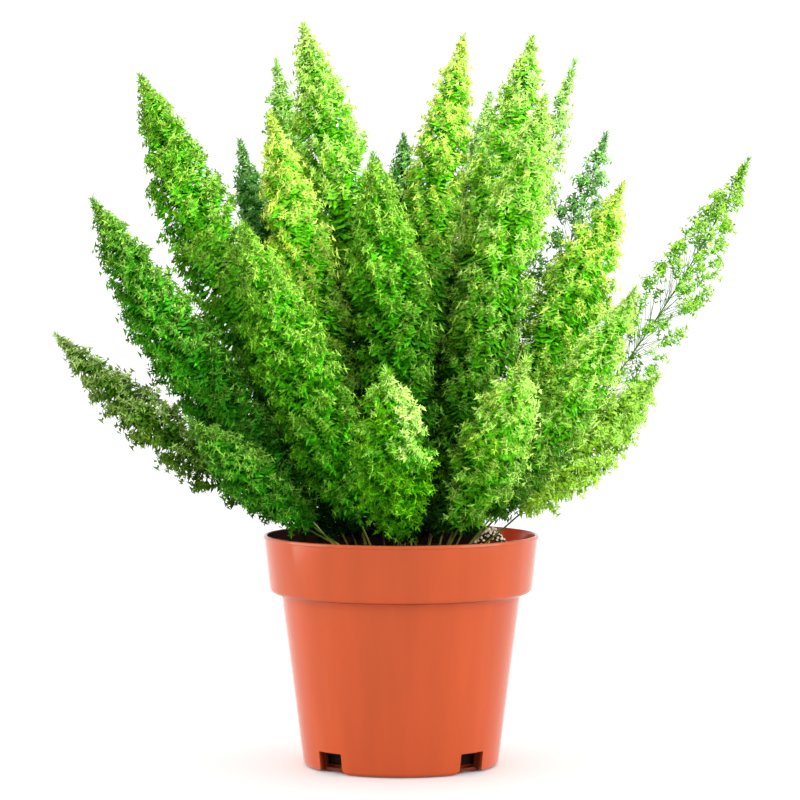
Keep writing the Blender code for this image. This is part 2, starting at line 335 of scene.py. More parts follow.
@dataclass(frozen=True)
class LeafPattern:
    """Where on a plume its painted shade, painted light and painted highlights lie, and how far its
    needles differ among themselves.
    """

    outer: Span = (0.45, 0.90)
    young: Span = (0.45, 1.0)
    # crown and base place the painted light at the top and the painted shade low down
    crown: Span = (0.0, 0.60)
    base: Span = (0.0, 0.13)
    # open places the painted shade where other plumes close round the needles
    open: Span = (0.05, 0.75)
    sunlit: Span = (0.0, 0.4)
    # Painted highlights at the tips of some needles
    glint_grain: Span = (0.3, 1.0)
    glint_share: float = 0.9
    glint_tip: Span = (0.2, 1.0)
    glint_tip_share: float = 0.7
    grain_range: Span = (0.66, 1.34)
    # tone_range brightens by tone, which is partly painted light and partly random
    tone_range: Span = (0.66, 1.28)
    patch_scale: float = 95.0
    patch_detail: float = 3.0
    patch_range: Span = (0.86, 1.14)
    fleck_scale: float = 620.0
    fleck_detail: float = 1.0
    fleck_part: Span = (0.36, 0.64)
    fleck_range: Span = (0.60, 1.42)
    ridge_scale: float = 1900.0
    ridge_detail: float = 1.0
    ridge_depth: float = 0.00006


@dataclass(frozen=True)
class LeafFinish:
    """Finish of a frond's needles, with painted shade in the heart of the plume, at its foot and
    where other plumes close round it, and painted light at its outer tips, its top and its sunny
    side.
    """

    name: str
    # heart is painted shade near the stem; light is painted light at the outer tips
    heart: Colour
    body: Colour
    light: Colour
    # Painted light at the crown; painted shade at the foot and, darker still, near the soil
    crown: Colour = (1.14, 1.14, 1.14)
    foot: Colour = (0.20, 0.45, 0.12)
    base: Colour = (0.10, 0.20, 0.06)
    # Painted shade where other plumes close round the needles
    closed: Colour = (0.10, 0.32, 0.09)
    # Painted light on the sunny side of the plume
    sun_from: Span = (0.50, 0.95)
    sun_share: float = 0.55
    sun_growth: Span = (0.0, 0.05)
    shaded_light: float = 0.35
    youth_light: float = 0.35
    lightest: Colour = (0.66, 0.90, 0.50)
    glow: float = 0.50
    roughness: float = 0.5
    specular: float = 0.06
    pattern: LeafPattern = LeafPattern()

    def colour(self, board: Board) -> bpy.types.NodeSocket:
        """Lays out the colour, much of it painted light and shade: lighter outwards, upwards, on
        the sunny side and at the tips, and darker at the foot, near the soil and where other plumes
        close round.

        Args:
            board: The material's nodes.

        Returns:
            The colour.
        """
        pattern = self.pattern
        names = ("reach", "growth", "tone", "grain", "needle", "open")
        reach, growth, tone, grain, needle, openness = (board.attribute(n) for n in names)
        youth = board.spread(growth, *pattern.young, 0.0, self.youth_light)
        # Painted light where the tone faces the sun
        sunny = board.times(
            board.spread(tone, *self.sun_from, 0.0, self.sun_share),
            board.spread(growth, *self.sun_growth),
        )
        outer = board.mix(sunny, board.mix(youth, self.body, self.light), self.light)
        # Painted shade inwards, painted light outwards
        leaf = board.mix(board.spread(reach, *pattern.outer), self.heart, outer)
        # Painted highlights at the tips of some needles, weaker on the shaded side
        picked = board.times(
            board.spread(grain, *pattern.glint_grain, 0.0, pattern.glint_share),
            board.spread(sunny, *pattern.sunlit, self.shaded_light, 1.0),
        )
        tips = board.spread(needle, *pattern.glint_tip, 0.0, pattern.glint_tip_share)
        colour = board.mix(board.times(picked, board.times(tips, reach)), leaf, self.light)
        # Painted shade low on the frond and where other plumes close round it, painted light at its
        # crown
        for factor, low, high in (
            (board.spread(growth, *pattern.crown), self.foot, self.crown),
            (board.spread(growth, *pattern.base), self.base, PLAIN),
            (board.spread(openness, *pattern.open), self.closed, PLAIN),
        ):
            colour = board.tinted(colour, factor, low, high)
        patches = board.noise(pattern.patch_scale, pattern.patch_detail)
        flecks = board.noise(pattern.fleck_scale, pattern.fleck_detail)
        for factor in (
            board.spread(grain, 0.0, 1.0, *pattern.grain_range),
            board.spread(tone, 0.0, 1.0, *pattern.tone_range),
            board.spread(patches, *NOISE_PART, *pattern.patch_range),
            board.spread(flecks, *pattern.fleck_part, *pattern.fleck_range),
        ):
            colour = board.scaled(colour, factor)
        return board.capped(colour, self.lightest)

    def make(self) -> bpy.types.Material:
        """Builds the material, whose colours follow the attributes of the needles.

        Returns:
            The material.
        """
        board = Board(self.name)
        colour = self.colour(board)
        ridges = board.noise(self.pattern.ridge_scale, self.pattern.ridge_detail)
        body = board.surface(
            Base_Color=colour,
            Roughness=self.roughness,
            Specular_IOR_Level=self.specular,
            Normal=board.bump(ridges, self.pattern.ridge_depth),
        )
        glow = board.add("ShaderNodeBsdfTranslucent", Color=colour)
        both = board.tree.nodes.new("ShaderNodeMixShader")
        both.inputs[0].default_value = self.glow
        board.tree.links.new(body.outputs[0], both.inputs[1])
        board.tree.links.new(glow.outputs[0], both.inputs[2])
        return board.finish(both)


class Tone(Enum):
    """Colouring of a frond, by its age and by how much light it grew in."""

    GOLDEN = LeafFinish(
        "needles_golden",
        (0.13, 0.55, 0.004),
        (0.51, 0.63, 0.036),
        (0.52, 0.67, 0.18),
        lightest=(0.74, 0.88, 0.30),
    )
    BRIGHT = LeafFinish(
        "needles_bright", (0.13, 0.51, 0.004), (0.36, 0.56, 0.028), (0.50, 0.64, 0.22)
    )
    # Painted light: a bright patch on the upper, sunny part of the frond
    SUNNY = LeafFinish(
        "needles_sunny",
        (0.070, 0.38, 0.001),
        (0.165, 0.45, 0.003),
        (0.51, 0.68, 0.22),
        sun_from=(0.66, 0.82),
        sun_share=0.95,
        sun_growth=(0.44, 0.60),
        shaded_light=0.10,
        youth_light=0.04,
        lightest=(0.84, 0.90, 0.50),
    )
    FRESH = LeafFinish(
        "needles_fresh", (0.060, 0.37, 0.001), (0.125, 0.37, 0.004), (0.35, 0.50, 0.09)
    )
    MID = LeafFinish(
        "needles_mid", (0.024, 0.25, 0.001), (0.052, 0.26, 0.003), (0.28, 0.44, 0.08)
    )
    DEEP = LeafFinish(
        "needles_deep",
        (0.010, 0.15, 0.003),
        (0.042, 0.22, 0.012),
        (0.24, 0.42, 0.14),
        glow=0.40,
    )
    OLIVE = LeafFinish(
        "needles_olive", (0.050, 0.18, 0.001), (0.165, 0.32, 0.013), (0.50, 0.62, 0.24)
    )
    # Painted light: the foot, the part near the soil and the enclosed needles are lighter, as light
    # from below would make them
    FRINGED = LeafFinish(
        "needles_fringed",
        (0.30, 0.56, 0.03),
        (0.33, 0.56, 0.028),
        (0.48, 0.64, 0.22),
        foot=(1.45, 1.30, 1.45),
        base=(1.00, 1.00, 0.90),
        closed=(1.20, 1.10, 1.00),
        glow=0.60,
    )
    PALE = LeafFinish(
        "needles_pale",
        (0.16, 0.46, 0.02),
        (0.32, 0.56, 0.09),
        (0.44, 0.62, 0.26),
        lightest=(0.74, 0.90, 0.60),
    )

    @property
    def slot(self) -> str:
        """The record's material slot that a frond of this tone belongs to."""
        if self in (Tone.GOLDEN, Tone.BRIGHT, Tone.FRINGED):
            return "frond_bright"
        return "frond_deep" if self in (Tone.DEEP, Tone.OLIVE) else "frond_mid"


@dataclass(frozen=True)
class StemFinish:
    """Finish of the stems and twigs: green above, browner and duller near the soil."""

    name: str = "stem_green"
    foot: Colour = (0.190, 0.175, 0.030)
    middle: Colour = (0.050, 0.125, 0.010)
    top: Colour = (0.030, 0.130, 0.008)
    foot_to: float = 0.02
    middle_at: float = 0.16
    streak_scale: float = 420.0
    streak_detail: float = 3.0
    streak_range: Span = (0.7, 1.3)
    gloss_scale: float = 300.0
    roughness: Span = (0.4, 0.6)
    specular: float = 0.2
    relief_scale: float = 900.0
    relief: float = 0.00012

    def make(self) -> bpy.types.Material:
        """Builds the material.

        Returns:
            The material.
        """
        board = Board(self.name)
        stops = ((self.foot_to, self.foot), (self.middle_at, self.middle), (1.0, self.top))
        colour = board.ramp(board.attribute("growth"), stops)
        streaks = board.noise(self.streak_scale, self.streak_detail)
        gloss = board.noise(self.gloss_scale)
        shader = board.surface(
            Base_Color=board.scaled(
                colour, board.spread(streaks, *NOISE_PART, *self.streak_range)
            ),
            Roughness=board.spread(gloss, *NOISE_PART, *self.roughness),
            Specular_IOR_Level=self.specular,
            Normal=board.bump(board.noise(self.relief_scale), self.relief),
        )
        return board.finish(shader)


@dataclass(frozen=True)
class PlasticFinish:
    """Satin terracotta plastic, lighter towards the top of the lip, with a painted shadow under the
    band, painted shade in the notches, and painted shade on the inner wall that turns to a painted
    glow at the right.
    """

    name: str = "terracotta_plastic"
    colour: Colour = (0.445, 0.068, 0.0155)
    # Lighter towards the top of the lip
    lip_colour: Colour = (0.52, 0.125, 0.055)
    lip_share: float = 0.55
    # Painted shade: the notches darken towards their back
    shade: Colour = (0.060, 0.006, 0.003)
    shade_share: float = 0.85
    full_shade_at: float = 0.5
    # Painted shade and painted glow on the inner wall: dark at the left and back, bright at the
    # right, as light through the thin wall would make it
    inner_painted_shade: Colour = (0.020, 0.0035, 0.002)
    inside: Colour = (0.74, 0.075, 0.018)
    inner_glow_from: Span = (0.046, 0.058)
    gloss: Colour = (0.13, 0.13, 0.13)
    matt: Colour = (0.9, 0.9, 0.9)
    # Painted shadow: a darker strip just under the band's lower edge
    under_band: Colour = (0.86, 0.82, 0.80)
    under_band_reach: Span = (-0.005, 0.001)
    under_band_part: Span = (0.8, 0.95)
    band_foot: float = 0.0945
    lip_height: float = 0.1245
    pot_height: float = 0.126
    streak_stretch: tuple[float, float, float] = (75, 75, 2)
    streak_range: Span = (0.94, 1.06)
    grain_scale: float = 2600.0
    grain_depth: float = 0.000004
    specular: float = 0.25
    soft_share: float = 0.20
    soft_colour: Colour = (1.0, 0.25, 0.10)
    soft_depth: float = 0.003

    def make(self) -> bpy.types.Material:
        """Builds the material.

        Returns:
            The material.
        """
        board = Board(self.name)
        split = board.add("ShaderNodeSeparateXYZ", Vector=board.place())
        height, inner = split.outputs["Z"], board.attribute("inner")
        lip = board.spread(height, self.lip_height, self.pot_height, 0.0, self.lip_share)
        streaks = board.noise(1.0, stretch=self.streak_stretch)
        plain = board.scaled(
            board.mix(lip, self.colour, self.lip_colour),
            board.spread(streaks, *NOISE_PART, *self.streak_range),
        )
        # Painted shadow under the band
        low, high = (self.band_foot + reach for reach in self.under_band_reach)
        start, end = self.under_band_part
        shadow = board.ramp(
            board.spread(height, low, high),
            ((0.0, PLAIN), (start, self.under_band), (end, self.under_band), (1.0, PLAIN)),
        )
        # The colour outside the inner wall, with the painted shadow under the band
        wall_colour = board.mix(1.0, plain, shadow, "MULTIPLY")
        # Painted shade on the inner wall, turning to a painted glow towards the right; the shaded
        # part is also matt
        right = board.spread(split.outputs["X"], *self.inner_glow_from)
        within = board.mix(right, self.inner_painted_shade, self.inside)
        # Painted shade deep in the notches
        deep = board.spread(board.attribute("deep"), 0.0, self.full_shade_at, 0.0, self.shade_share)
        inner_shaded = board.times(inner, board.spread(right, 0.0, 1.0, 1.0, 0.0))
        shader = board.surface(
            Base_Color=board.mix(deep, board.mix(inner, wall_colour, within), self.shade),
            Roughness=board.mix(inner_shaded, self.gloss, self.matt),
            Specular_IOR_Level=self.specular,
            Subsurface_Weight=self.soft_share,
            Subsurface_Radius=self.soft_colour,
            Subsurface_Scale=self.soft_depth,
            Normal=board.bump(board.noise(self.grain_scale), self.grain_depth),
        )
        return board.finish(shader)


@dataclass(frozen=True)
class GroundFinish:
    """Rough, crumbly finish: of the potting mix, of the bark and fibre in it, or of perlite."""

    name: str
    dark: Colour
    light: Colour
    scale: float
    relief: float = 0.0006
    detail: float = 6.0
    coarseness: float = 0.7
    dark_to: float = 0.35
    light_from: float = 0.62
    rough_part: Span = (0.2, 0.8)
    rough_range: Span = (0.98, 0.8)
    specular: float = 0.1

    def make(self) -> bpy.types.Material:
        """Builds the material.

        Returns:
            The material.
        """
        board = Board(self.name)
        crumbs = board.noise(self.scale, self.detail, self.coarseness)
        shader = board.surface(
            Base_Color=board.ramp(
                crumbs, ((self.dark_to, self.dark), (self.light_from, self.light))
            ),
            Roughness=board.spread(crumbs, *self.rough_part, *self.rough_range),
            Specular_IOR_Level=self.specular,
            Normal=board.bump(crumbs, self.relief),
        )
        return board.finish(shader)


SOIL_FINISH = GroundFinish("potting_mix", (0.004, 0.003, 0.002), (0.030, 0.018, 0.010), 700.0)
# Dark core of the perlite heap: partly mix, partly painted shade between the grains
CORE_FINISH = GroundFinish("heap_mix_and_shade", (0.010, 0.005, 0.003), (0.060, 0.028, 0.014), 900.0)
BARK_FINISH = GroundFinish("bark_crumbs", (0.030, 0.015, 0.008), (0.16, 0.085, 0.040), 350.0)
PERLITE_FINISH = GroundFinish("perlite", (0.74, 0.60, 0.40), (0.95, 0.88, 0.70), 600.0, 0.0002)


# Shared building steps


def dressed(
    name: str, bm: bmesh.types.BMesh, materials: list[bpy.types.Material]
) -> bpy.types.Object:
    """Makes a scene object of a bmesh.

    Args:
        name: The object's name.
        bm: Its shape, which is freed.
        materials: Its materials, in the order of their slots.

    Returns:
        The object.
    """
    mesh = bpy.data.meshes.new(name)
    bm.to_mesh(mesh)
    bm.free()
    for material in materials:
        mesh.materials.append(material)
    made = bpy.data.objects.new(name, mesh)
    bpy.context.scene.collection.objects.link(made)
    return made


def stand_in(piece: bpy.types.Object, slot: str, *nodes: str) -> bpy.types.Object:
    """Puts a piece on the body, in place of CAD nodes.

    Args:
        piece: The piece.
        slot: The record's material slot; not used.
        nodes: The CAD nodes that it stands for.

    Returns:
        The piece.
    """
    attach(piece, BODY)
    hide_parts(*nodes)
    LOG.info("%s: %d faces", piece.name, len(piece.data.polygons))
    return piece


def frozen(piece: bpy.types.Object) -> bpy.types.Object:
    """Applies a piece's modifiers.

    Args:
        piece: The piece.

    Returns:
        The piece.
    """
    graph = bpy.context.evaluated_depsgraph_get()
    mesh = bpy.data.meshes.new_from_object(piece.evaluated_get(graph))
    piece.modifiers.clear()
    piece.data = mesh
    return piece


def merge_in(bm: bmesh.types.BMesh, mesh: bpy.types.Mesh, place: Matrix) -> int:
    """Adds a placed copy of a mesh to a bmesh.

    Args:
        bm: What it is added to.
        mesh: The mesh.
        place: Where the copy goes.

    Returns:
        The number of vertices that were added.
    """
    copy = mesh.copy()
    copy.transform(place)
    bm.from_mesh(copy)
    bpy.data.meshes.remove(copy)
    return len(mesh.vertices)


def mark_last(bm: bmesh.types.BMesh, count: int, **values: float) -> None:
    """Gives the vertices that were added last a value in some of the mesh's float layers.

    Args:
        bm: The mesh.
        count: The number of vertices.
        values: The value for each layer, by its name.
    """
    bm.verts.ensure_lookup_table()
    for name, value in values.items():
        layer = bm.verts.layers.float[name]
        for vert in bm.verts[-count:]:
            vert[layer] = value


def rounded(corners: list[tuple[float, float, float]], steps: int) -> list[Vector]:
    """Rounds the corners of a flat outline.

    Args:
        corners: Each corner's two coordinates and the radius of its fillet, or 0.
        steps: Straight steps in each fillet.

    Returns:
        The outline's points.
    """
    points = []
    for index, (across, up, fillet) in enumerate(corners):
        here = Vector((across, up))
        if fillet == 0:
            points.append(here)
            continue
        before = (Vector(corners[index - 1][:2]) - here).normalized()
        after = (Vector(corners[(index + 1) % len(corners)][:2]) - here).normalized()
        half = before.angle(after) / 2
        centre = here + (before + after).normalized() * (fillet / math.sin(half))
        reach = fillet / math.tan(half)
        start = here + before * reach - centre
        sweep = start.angle_signed(here + after * reach - centre)
        for step in range(steps + 1):
            points.append(centre + Matrix.Rotation(-sweep * step / steps, 2) @ start)
    return points


def turned(profile: list[Vector], steps: int) -> bmesh.types.BMesh:
    """Turns a profile about Z.

    Args:
        profile: Points of radius and height, whose two ends lie on the axis.
        steps: Steps in the turn.

    Returns:
        The closed solid.
    """
    bm = bmesh.new()
    verts = [bm.verts.new((point.x, 0, point.y)) for point in profile]
    edges = [bm.edges.new(pair) for pair in zip(verts, verts[1:])]
    bmesh.ops.spin(
        bm,
        geom=verts + edges,
        cent=(0, 0, 0),
        axis=(0, 0, 1),
        dvec=(0, 0, 0),
        angle=math.tau,
        steps=steps,
        use_merge=True,
        use_duplicate=False,
    )
    bmesh.ops.remove_doubles(bm, verts=bm.verts, dist=MERGE_GAP)
    bmesh.ops.recalc_face_normals(bm, faces=bm.faces)
    return bm


# Pot


@dataclass
class NurseryPot:
    """Round plastic pot with a deep band under its rim and four drainage notches."""

    height: float = 0.1260
    rim_radius: float = 0.0750
    band_height: float = 0.0315
    band_foot_radius: float = 0.0716
    foot_radius: float = 0.0533
    shoulder_radius: float = 0.0658
    wall: float = 0.0016
    floor_lift: float = 0.0023
    foot_ring_inner: float = 0.0486
    bead_height: float = 0.0017
    bead_proud: float = 0.00035
    notch_azimuths: tuple[int, ...] = (45, 135, 225, 315)
    notch_width: float = 0.0170
    notch_height: float = 0.0115
    notch_depth: float = 0.0050
    notch_flare: float = 0.0036
    drain_width: float = 0.0158
    drain_low: float = 0.0025
    drain_high: float = 0.0109
    floor_fillet: float = 0.0015
    ledge_lift: float = 0.0004
    ledge_fillet: float = 0.0004
    band_fillet: float = 0.0008
    lip_fillet: float = 0.0007
    bead_fillet: float = 0.0004
    under_bead_fillet: float = 0.0002
    edge_fillet: float = 0.0030
    step_fillet: float = 0.0024
    ring_fillet: float = 0.0003
    ring_draft: float = 0.0007
    notch_fillet: float = 0.0006
    housing_low: float = 0.0030
    cutter_reach: float = 0.0100
    skin: float = 0.0010
    lip_margin: float = 0.0003
    face_margin: float = 0.0005
    sharp_angle: float = 32.0
    turn_steps: int = 160
    fillet_steps: int = 5

    @property
    def band_z(self) -> float:
        """Height of the band's lower edge."""
        return self.height - self.band_height

    @property
    def band_lean(self) -> float:
        """How far the band's face leans outwards for each metre up it."""
        return (self.rim_radius - self.band_foot_radius) / self.band_height

    def wall_radius(self, height: float) -> float:
        """Outer radius of the tapered body at a height."""
        return self.foot_radius + (self.shoulder_radius - self.foot_radius) * height / self.band_z

    def profile(self) -> list[Vector]:
        """Half a section, from the inside of the floor round the lip to its underside.

        Returns:
            The outline's points, of radius and height.
        """
        floor_top = self.floor_lift + self.wall
        step_z = self.band_z - self.wall
        bead_z = self.height - self.bead_height
        under_bead = self.rim_radius - self.band_lean * (self.bead_height + self.bead_proud)
        bead = self.rim_radius + self.bead_proud
        corners = [
            (0, floor_top, 0),
            (self.wall_radius(floor_top) - self.wall, floor_top, self.floor_fillet),
            (self.shoulder_radius - self.wall, self.band_z + self.ledge_lift, self.ledge_fillet),
            (self.band_foot_radius - self.wall, self.band_z + self.wall, self.band_fillet),
            (self.rim_radius - self.wall, self.height, self.lip_fillet),
            (bead, self.height, self.lip_fillet),
            (bead, bead_z, self.bead_fillet),
            (under_bead, bead_z - self.bead_proud, self.under_bead_fillet),
            (self.band_foot_radius, self.band_z, self.edge_fillet),
            (self.wall_radius(step_z), step_z + self.wall, self.step_fillet),
            (self.foot_radius, 0, self.edge_fillet),
            (self.foot_ring_inner, 0, self.ring_fillet),
            (self.foot_ring_inner - self.ring_draft, self.floor_lift, self.ring_fillet),
            (0, self.floor_lift, 0),
        ]
        return rounded(corners, self.fillet_steps)

    def wall_block(
        self, outline: list[Vector], azimuth: float, inward: float, outward: float
    ) -> bpy.types.Object:
        """A block of an outline drawn on the leaning wall.

        Args:
            outline: Points across the wall and up it.
            azimuth: Where on the wall, in degrees.
            inward: How far it goes into the pot from the wall's outer face.
            outward: How far it goes out from there.

        Returns:
            The block, hidden.
        """
        bm = bmesh.new()
        face = bm.faces.new([bm.verts.new((0, point.x, point.y)) for point in outline])
        made = bmesh.ops.extrude_face_region(bm, geom=[face])["geom"]
        far = {vert for vert in made if isinstance(vert, bmesh.types.BMVert)}
        for vert in bm.verts:
            vert.co.x = self.wall_radius(vert.co.z) + (outward if vert in far else -inward)
        bmesh.ops.recalc_face_normals(bm, faces=bm.faces)
        turn = Matrix.Rotation(math.radians(azimuth), 4, "Z")
        bmesh.ops.transform(bm, matrix=turn, verts=bm.verts)
        block = dressed("block", bm, [])
        block.hide_render = True
        return block

    def box_outline(self, width: float, low: float, high: float) -> list[Vector]:
        """A rectangle on the wall, by its width and its lower and upper heights."""
        half = width / 2
        return [Vector(pair) for pair in ((-half, low), (half, low), (half, high), (-half, high))]

    def notch_outline(self) -> list[Vector]:
        """A notch on the wall, whose lower corners flare into the pot's foot.

        Returns:
            The outline's points, across the wall and up it.
        """
        half, flare, below = self.notch_width / 2, self.notch_flare, -self.cutter_reach
        fillet = self.notch_fillet
        corners = [
            (-half - 2 * flare, below, 0),
            (half + 2 * flare, below, 0),
            (half + 2 * flare, 0, 0),
            (half, 0, flare),
            (half, self.notch_height, fillet),
            (-half, self.notch_height, fillet),
            (-half, 0, flare),
            (-half - 2 * flare, 0, 0),
        ]
        return rounded(corners, self.fillet_steps)

    def blocks(self) -> list[tuple[str, bpy.types.Object]]:
        """The blocks that shape the notches, each with what it does to the pot.

        Returns:
            The name of the operation and the block, in the order they are used.
        """
        made = []
        roof = self.notch_height + self.wall
        for azimuth in self.notch_azimuths:
            width = self.notch_width + 2 * self.wall
            housing = self.box_outline(width, self.housing_low, roof)
            block = self.wall_block(housing, azimuth, self.notch_depth + self.wall, -self.skin)
            made.append(("UNION", block))
        for azimuth in self.notch_azimuths:
            outline = self.notch_outline()
            notch = self.wall_block(outline, azimuth, self.notch_depth, self.cutter_reach)
            drain = self.box_outline(self.drain_width, self.drain_low, self.drain_high)
            through = self.notch_depth + 2 * self.wall
            slot = self.wall_block(drain, azimuth, through, self.skin)
            made += [("DIFFERENCE", notch), ("DIFFERENCE", slot)]
        return made

    def mark_depth(self, mesh: bpy.types.Mesh) -> None:
        """Writes what the plastic reads for its painted shade and glow: how deep in a notch a
        vertex is, and which is inside.

        Args:
            mesh: The pot's mesh.
        """
        deep = mesh.attributes.new("deep", "FLOAT", "POINT")
        inner = mesh.attributes.new("inner", "FLOAT", "POINT")
        for vert, depth, within in zip(mesh.vertices, deep.data, inner.data):
            x, y, z = vert.co
            out = math.hypot(x, y)
            if z < self.notch_height + self.wall:
                depth.value = min(1.0, max(0.0, (self.wall_radius(z) - out) / self.notch_depth))
            face = self.rim_radius - self.wall - (self.height - z) * self.band_lean
            below_lip = self.band_z < z < self.height - self.lip_margin
            within.value = float(below_lip and out < face + self.face_margin)

    def build(self) -> bpy.types.Object:
        """Builds and dresses the pot.

        Returns:
            The pot.
        """
        pot = dressed(
            "nursery_pot", turned(self.profile(), self.turn_steps), [PlasticFinish().make()]
        )
        blocks = self.blocks()
        for operation, block in blocks:
            modifier = pot.modifiers.new(operation.lower(), "BOOLEAN")
            modifier.operation = operation
            modifier.solver = "EXACT"
            modifier.object = block
        frozen(pot)
        for _, block in blocks:
            bpy.data.objects.remove(block)
        self.mark_depth(pot.data)
        pot.data.shade_smooth()
        pot.data.set_sharp_from_angle(angle=math.radians(self.sharp_angle))
        return stand_in(pot, "pot_plastic", "pot")


# Potting mix and perlite


@dataclass
class PottingMix:
    """Dark mix with crumbs of bark, mounded a little towards the stems."""

    pot: NurseryPot
    gap: float = 0.00035
    top: float = 0.1165
    edge: float = 0.1130
    bump: float = 0.0009
    lump_waves: tuple[float, float, float] = (210, 180, 330)
    lump_shift: float = 1.3
    coarse_scale: float = 170
    coarse_relief: float = 0.0010
    fine_scale: float = 800
    fine_relief: float = 0.00045
    notch_room: float = 0.002
    top_margin: float = 0.0001
    rings: int = 46
    turn_steps: int = 150
    crumb_count: int = 900
    crumb_margin: float = 0.0015
    crumb_size: Span = (0.0005, 0.0013)
    crumb_share: float = 0.85
    chip_size: float = 0.002
    crumb_length: Span = (1.0, 2.6)
    crumb_width: Span = (0.6, 1.1)
    crumb_height: Span = (0.35, 0.8)
    crumb_tilt: Span = (-0.6, 0.6)
    crumb_lump: Span = (0.75, 1.2)
    crumb_lift: float = 0.25
    bark_share: float = 0.75
    seed: int = 21

    def height(self, x: float, y: float) -> float:
        """Height of the smooth surface, as in the CAD solid.

        Args:
            x: The place's X.
            y: Its Y.

        Returns:
            The height.
        """
        share = math.hypot(x, y) / self.pot.rim_radius
        mound = self.top + (self.edge - self.top) * share**2
        along, across, slant = self.lump_waves
        lumps = math.sin(along * x + self.lump_shift) * math.cos(across * y)
        lumps += math.sin(slant * (x + y))
        return mound + self.bump * lumps / 2

    def rough_height(self, x: float, y: float) -> float:
        """Height of the crumbly surface at a place.

        Args:
            x: The place's X.
            y: Its Y.

        Returns:
            The height.
        """
        coarse = noise.fractal(Vector((x, y, 0)) * self.coarse_scale, 1.0, 2.0, 3)
        fine = noise.fractal(Vector((x, y, 0.3)) * self.fine_scale, 1.0, 2.2, 2)
        return self.height(x, y) + self.coarse_relief * coarse + self.fine_relief * fine

    def build(self) -> bpy.types.Object:
        """Builds the filled body of mix, its crumbly top and the crumbs on it.

        Returns:
            The mix.
        """
        pot = self.pot
        bottom = pot.floor_lift + pot.wall + self.gap
        gap = pot.wall + self.gap
        edge = pot.rim_radius - gap - (pot.height - self.edge) * pot.band_lean
        top = [Vector((edge * ring / self.rings, self.edge)) for ring in range(self.rings + 1)]
        foot = pot.wall_radius(bottom) - gap - pot.notch_depth - self.notch_room
        side = [
            Vector((pot.band_foot_radius - gap, pot.band_z + gap)),
            Vector((pot.shoulder_radius - gap, pot.band_z + pot.ledge_lift + self.gap)),
            Vector((foot, bottom)),
            Vector((0, bottom)),
        ]
        bm = turned(top + side, self.turn_steps)
        for vert in bm.verts:
            if vert.co.z > self.edge - self.top_margin:
                vert.co.z = self.rough_height(vert.co.x, vert.co.y)
        for face in bm.faces:
            face.smooth = True
        self.strew(bm, edge)
        mix = dressed("potting_mix_top", bm, [SOIL_FINISH.make(), BARK_FINISH.make()])
        return stand_in(mix, "potting_mix", "potting_mix")

    def strew(self, bm: bmesh.types.BMesh, edge: float) -> None:
        """Strews crumbs of bark and fibre on the mix.

        Args:
            bm: The mix.
            edge: Radius of its top.
        """
        draw = random.Random(self.seed)
        for index in range(self.crumb_count):
            out = (edge - self.crumb_margin) * math.sqrt(draw.random())
            turn = index * GOLDEN_TURN
            x, y = out * math.cos(turn), out * math.sin(turn)
            is_crumb = draw.random() < self.crumb_share
            size = draw.uniform(*self.crumb_size) if is_crumb else self.chip_size
            forms = (self.crumb_length, self.crumb_width, self.crumb_height)
            shape = Matrix.Diagonal((*(draw.uniform(*form) for form in forms), 1))
            tilt = Matrix.Rotation(draw.uniform(*self.crumb_tilt), 4, "Y")
            spin = Matrix.Rotation(draw.uniform(0, math.tau), 4, "Z")
            height = self.rough_height(x, y) + size * self.crumb_lift
            place = Matrix.Translation((x, y, height))
            made = bmesh.ops.create_icosphere(bm, subdivisions=1, radius=size)["verts"]
            for vert in made:
                vert.co *= draw.uniform(*self.crumb_lump)
            bmesh.ops.transform(bm, matrix=place @ spin @ tilt @ shape, verts=made)
            # A dict keeps the faces in one order, so that every run draws alike for each
            for face in dict.fromkeys(face for vert in made for face in vert.link_faces):
                face.material_index = 1 if draw.random() < self.bark_share else 0


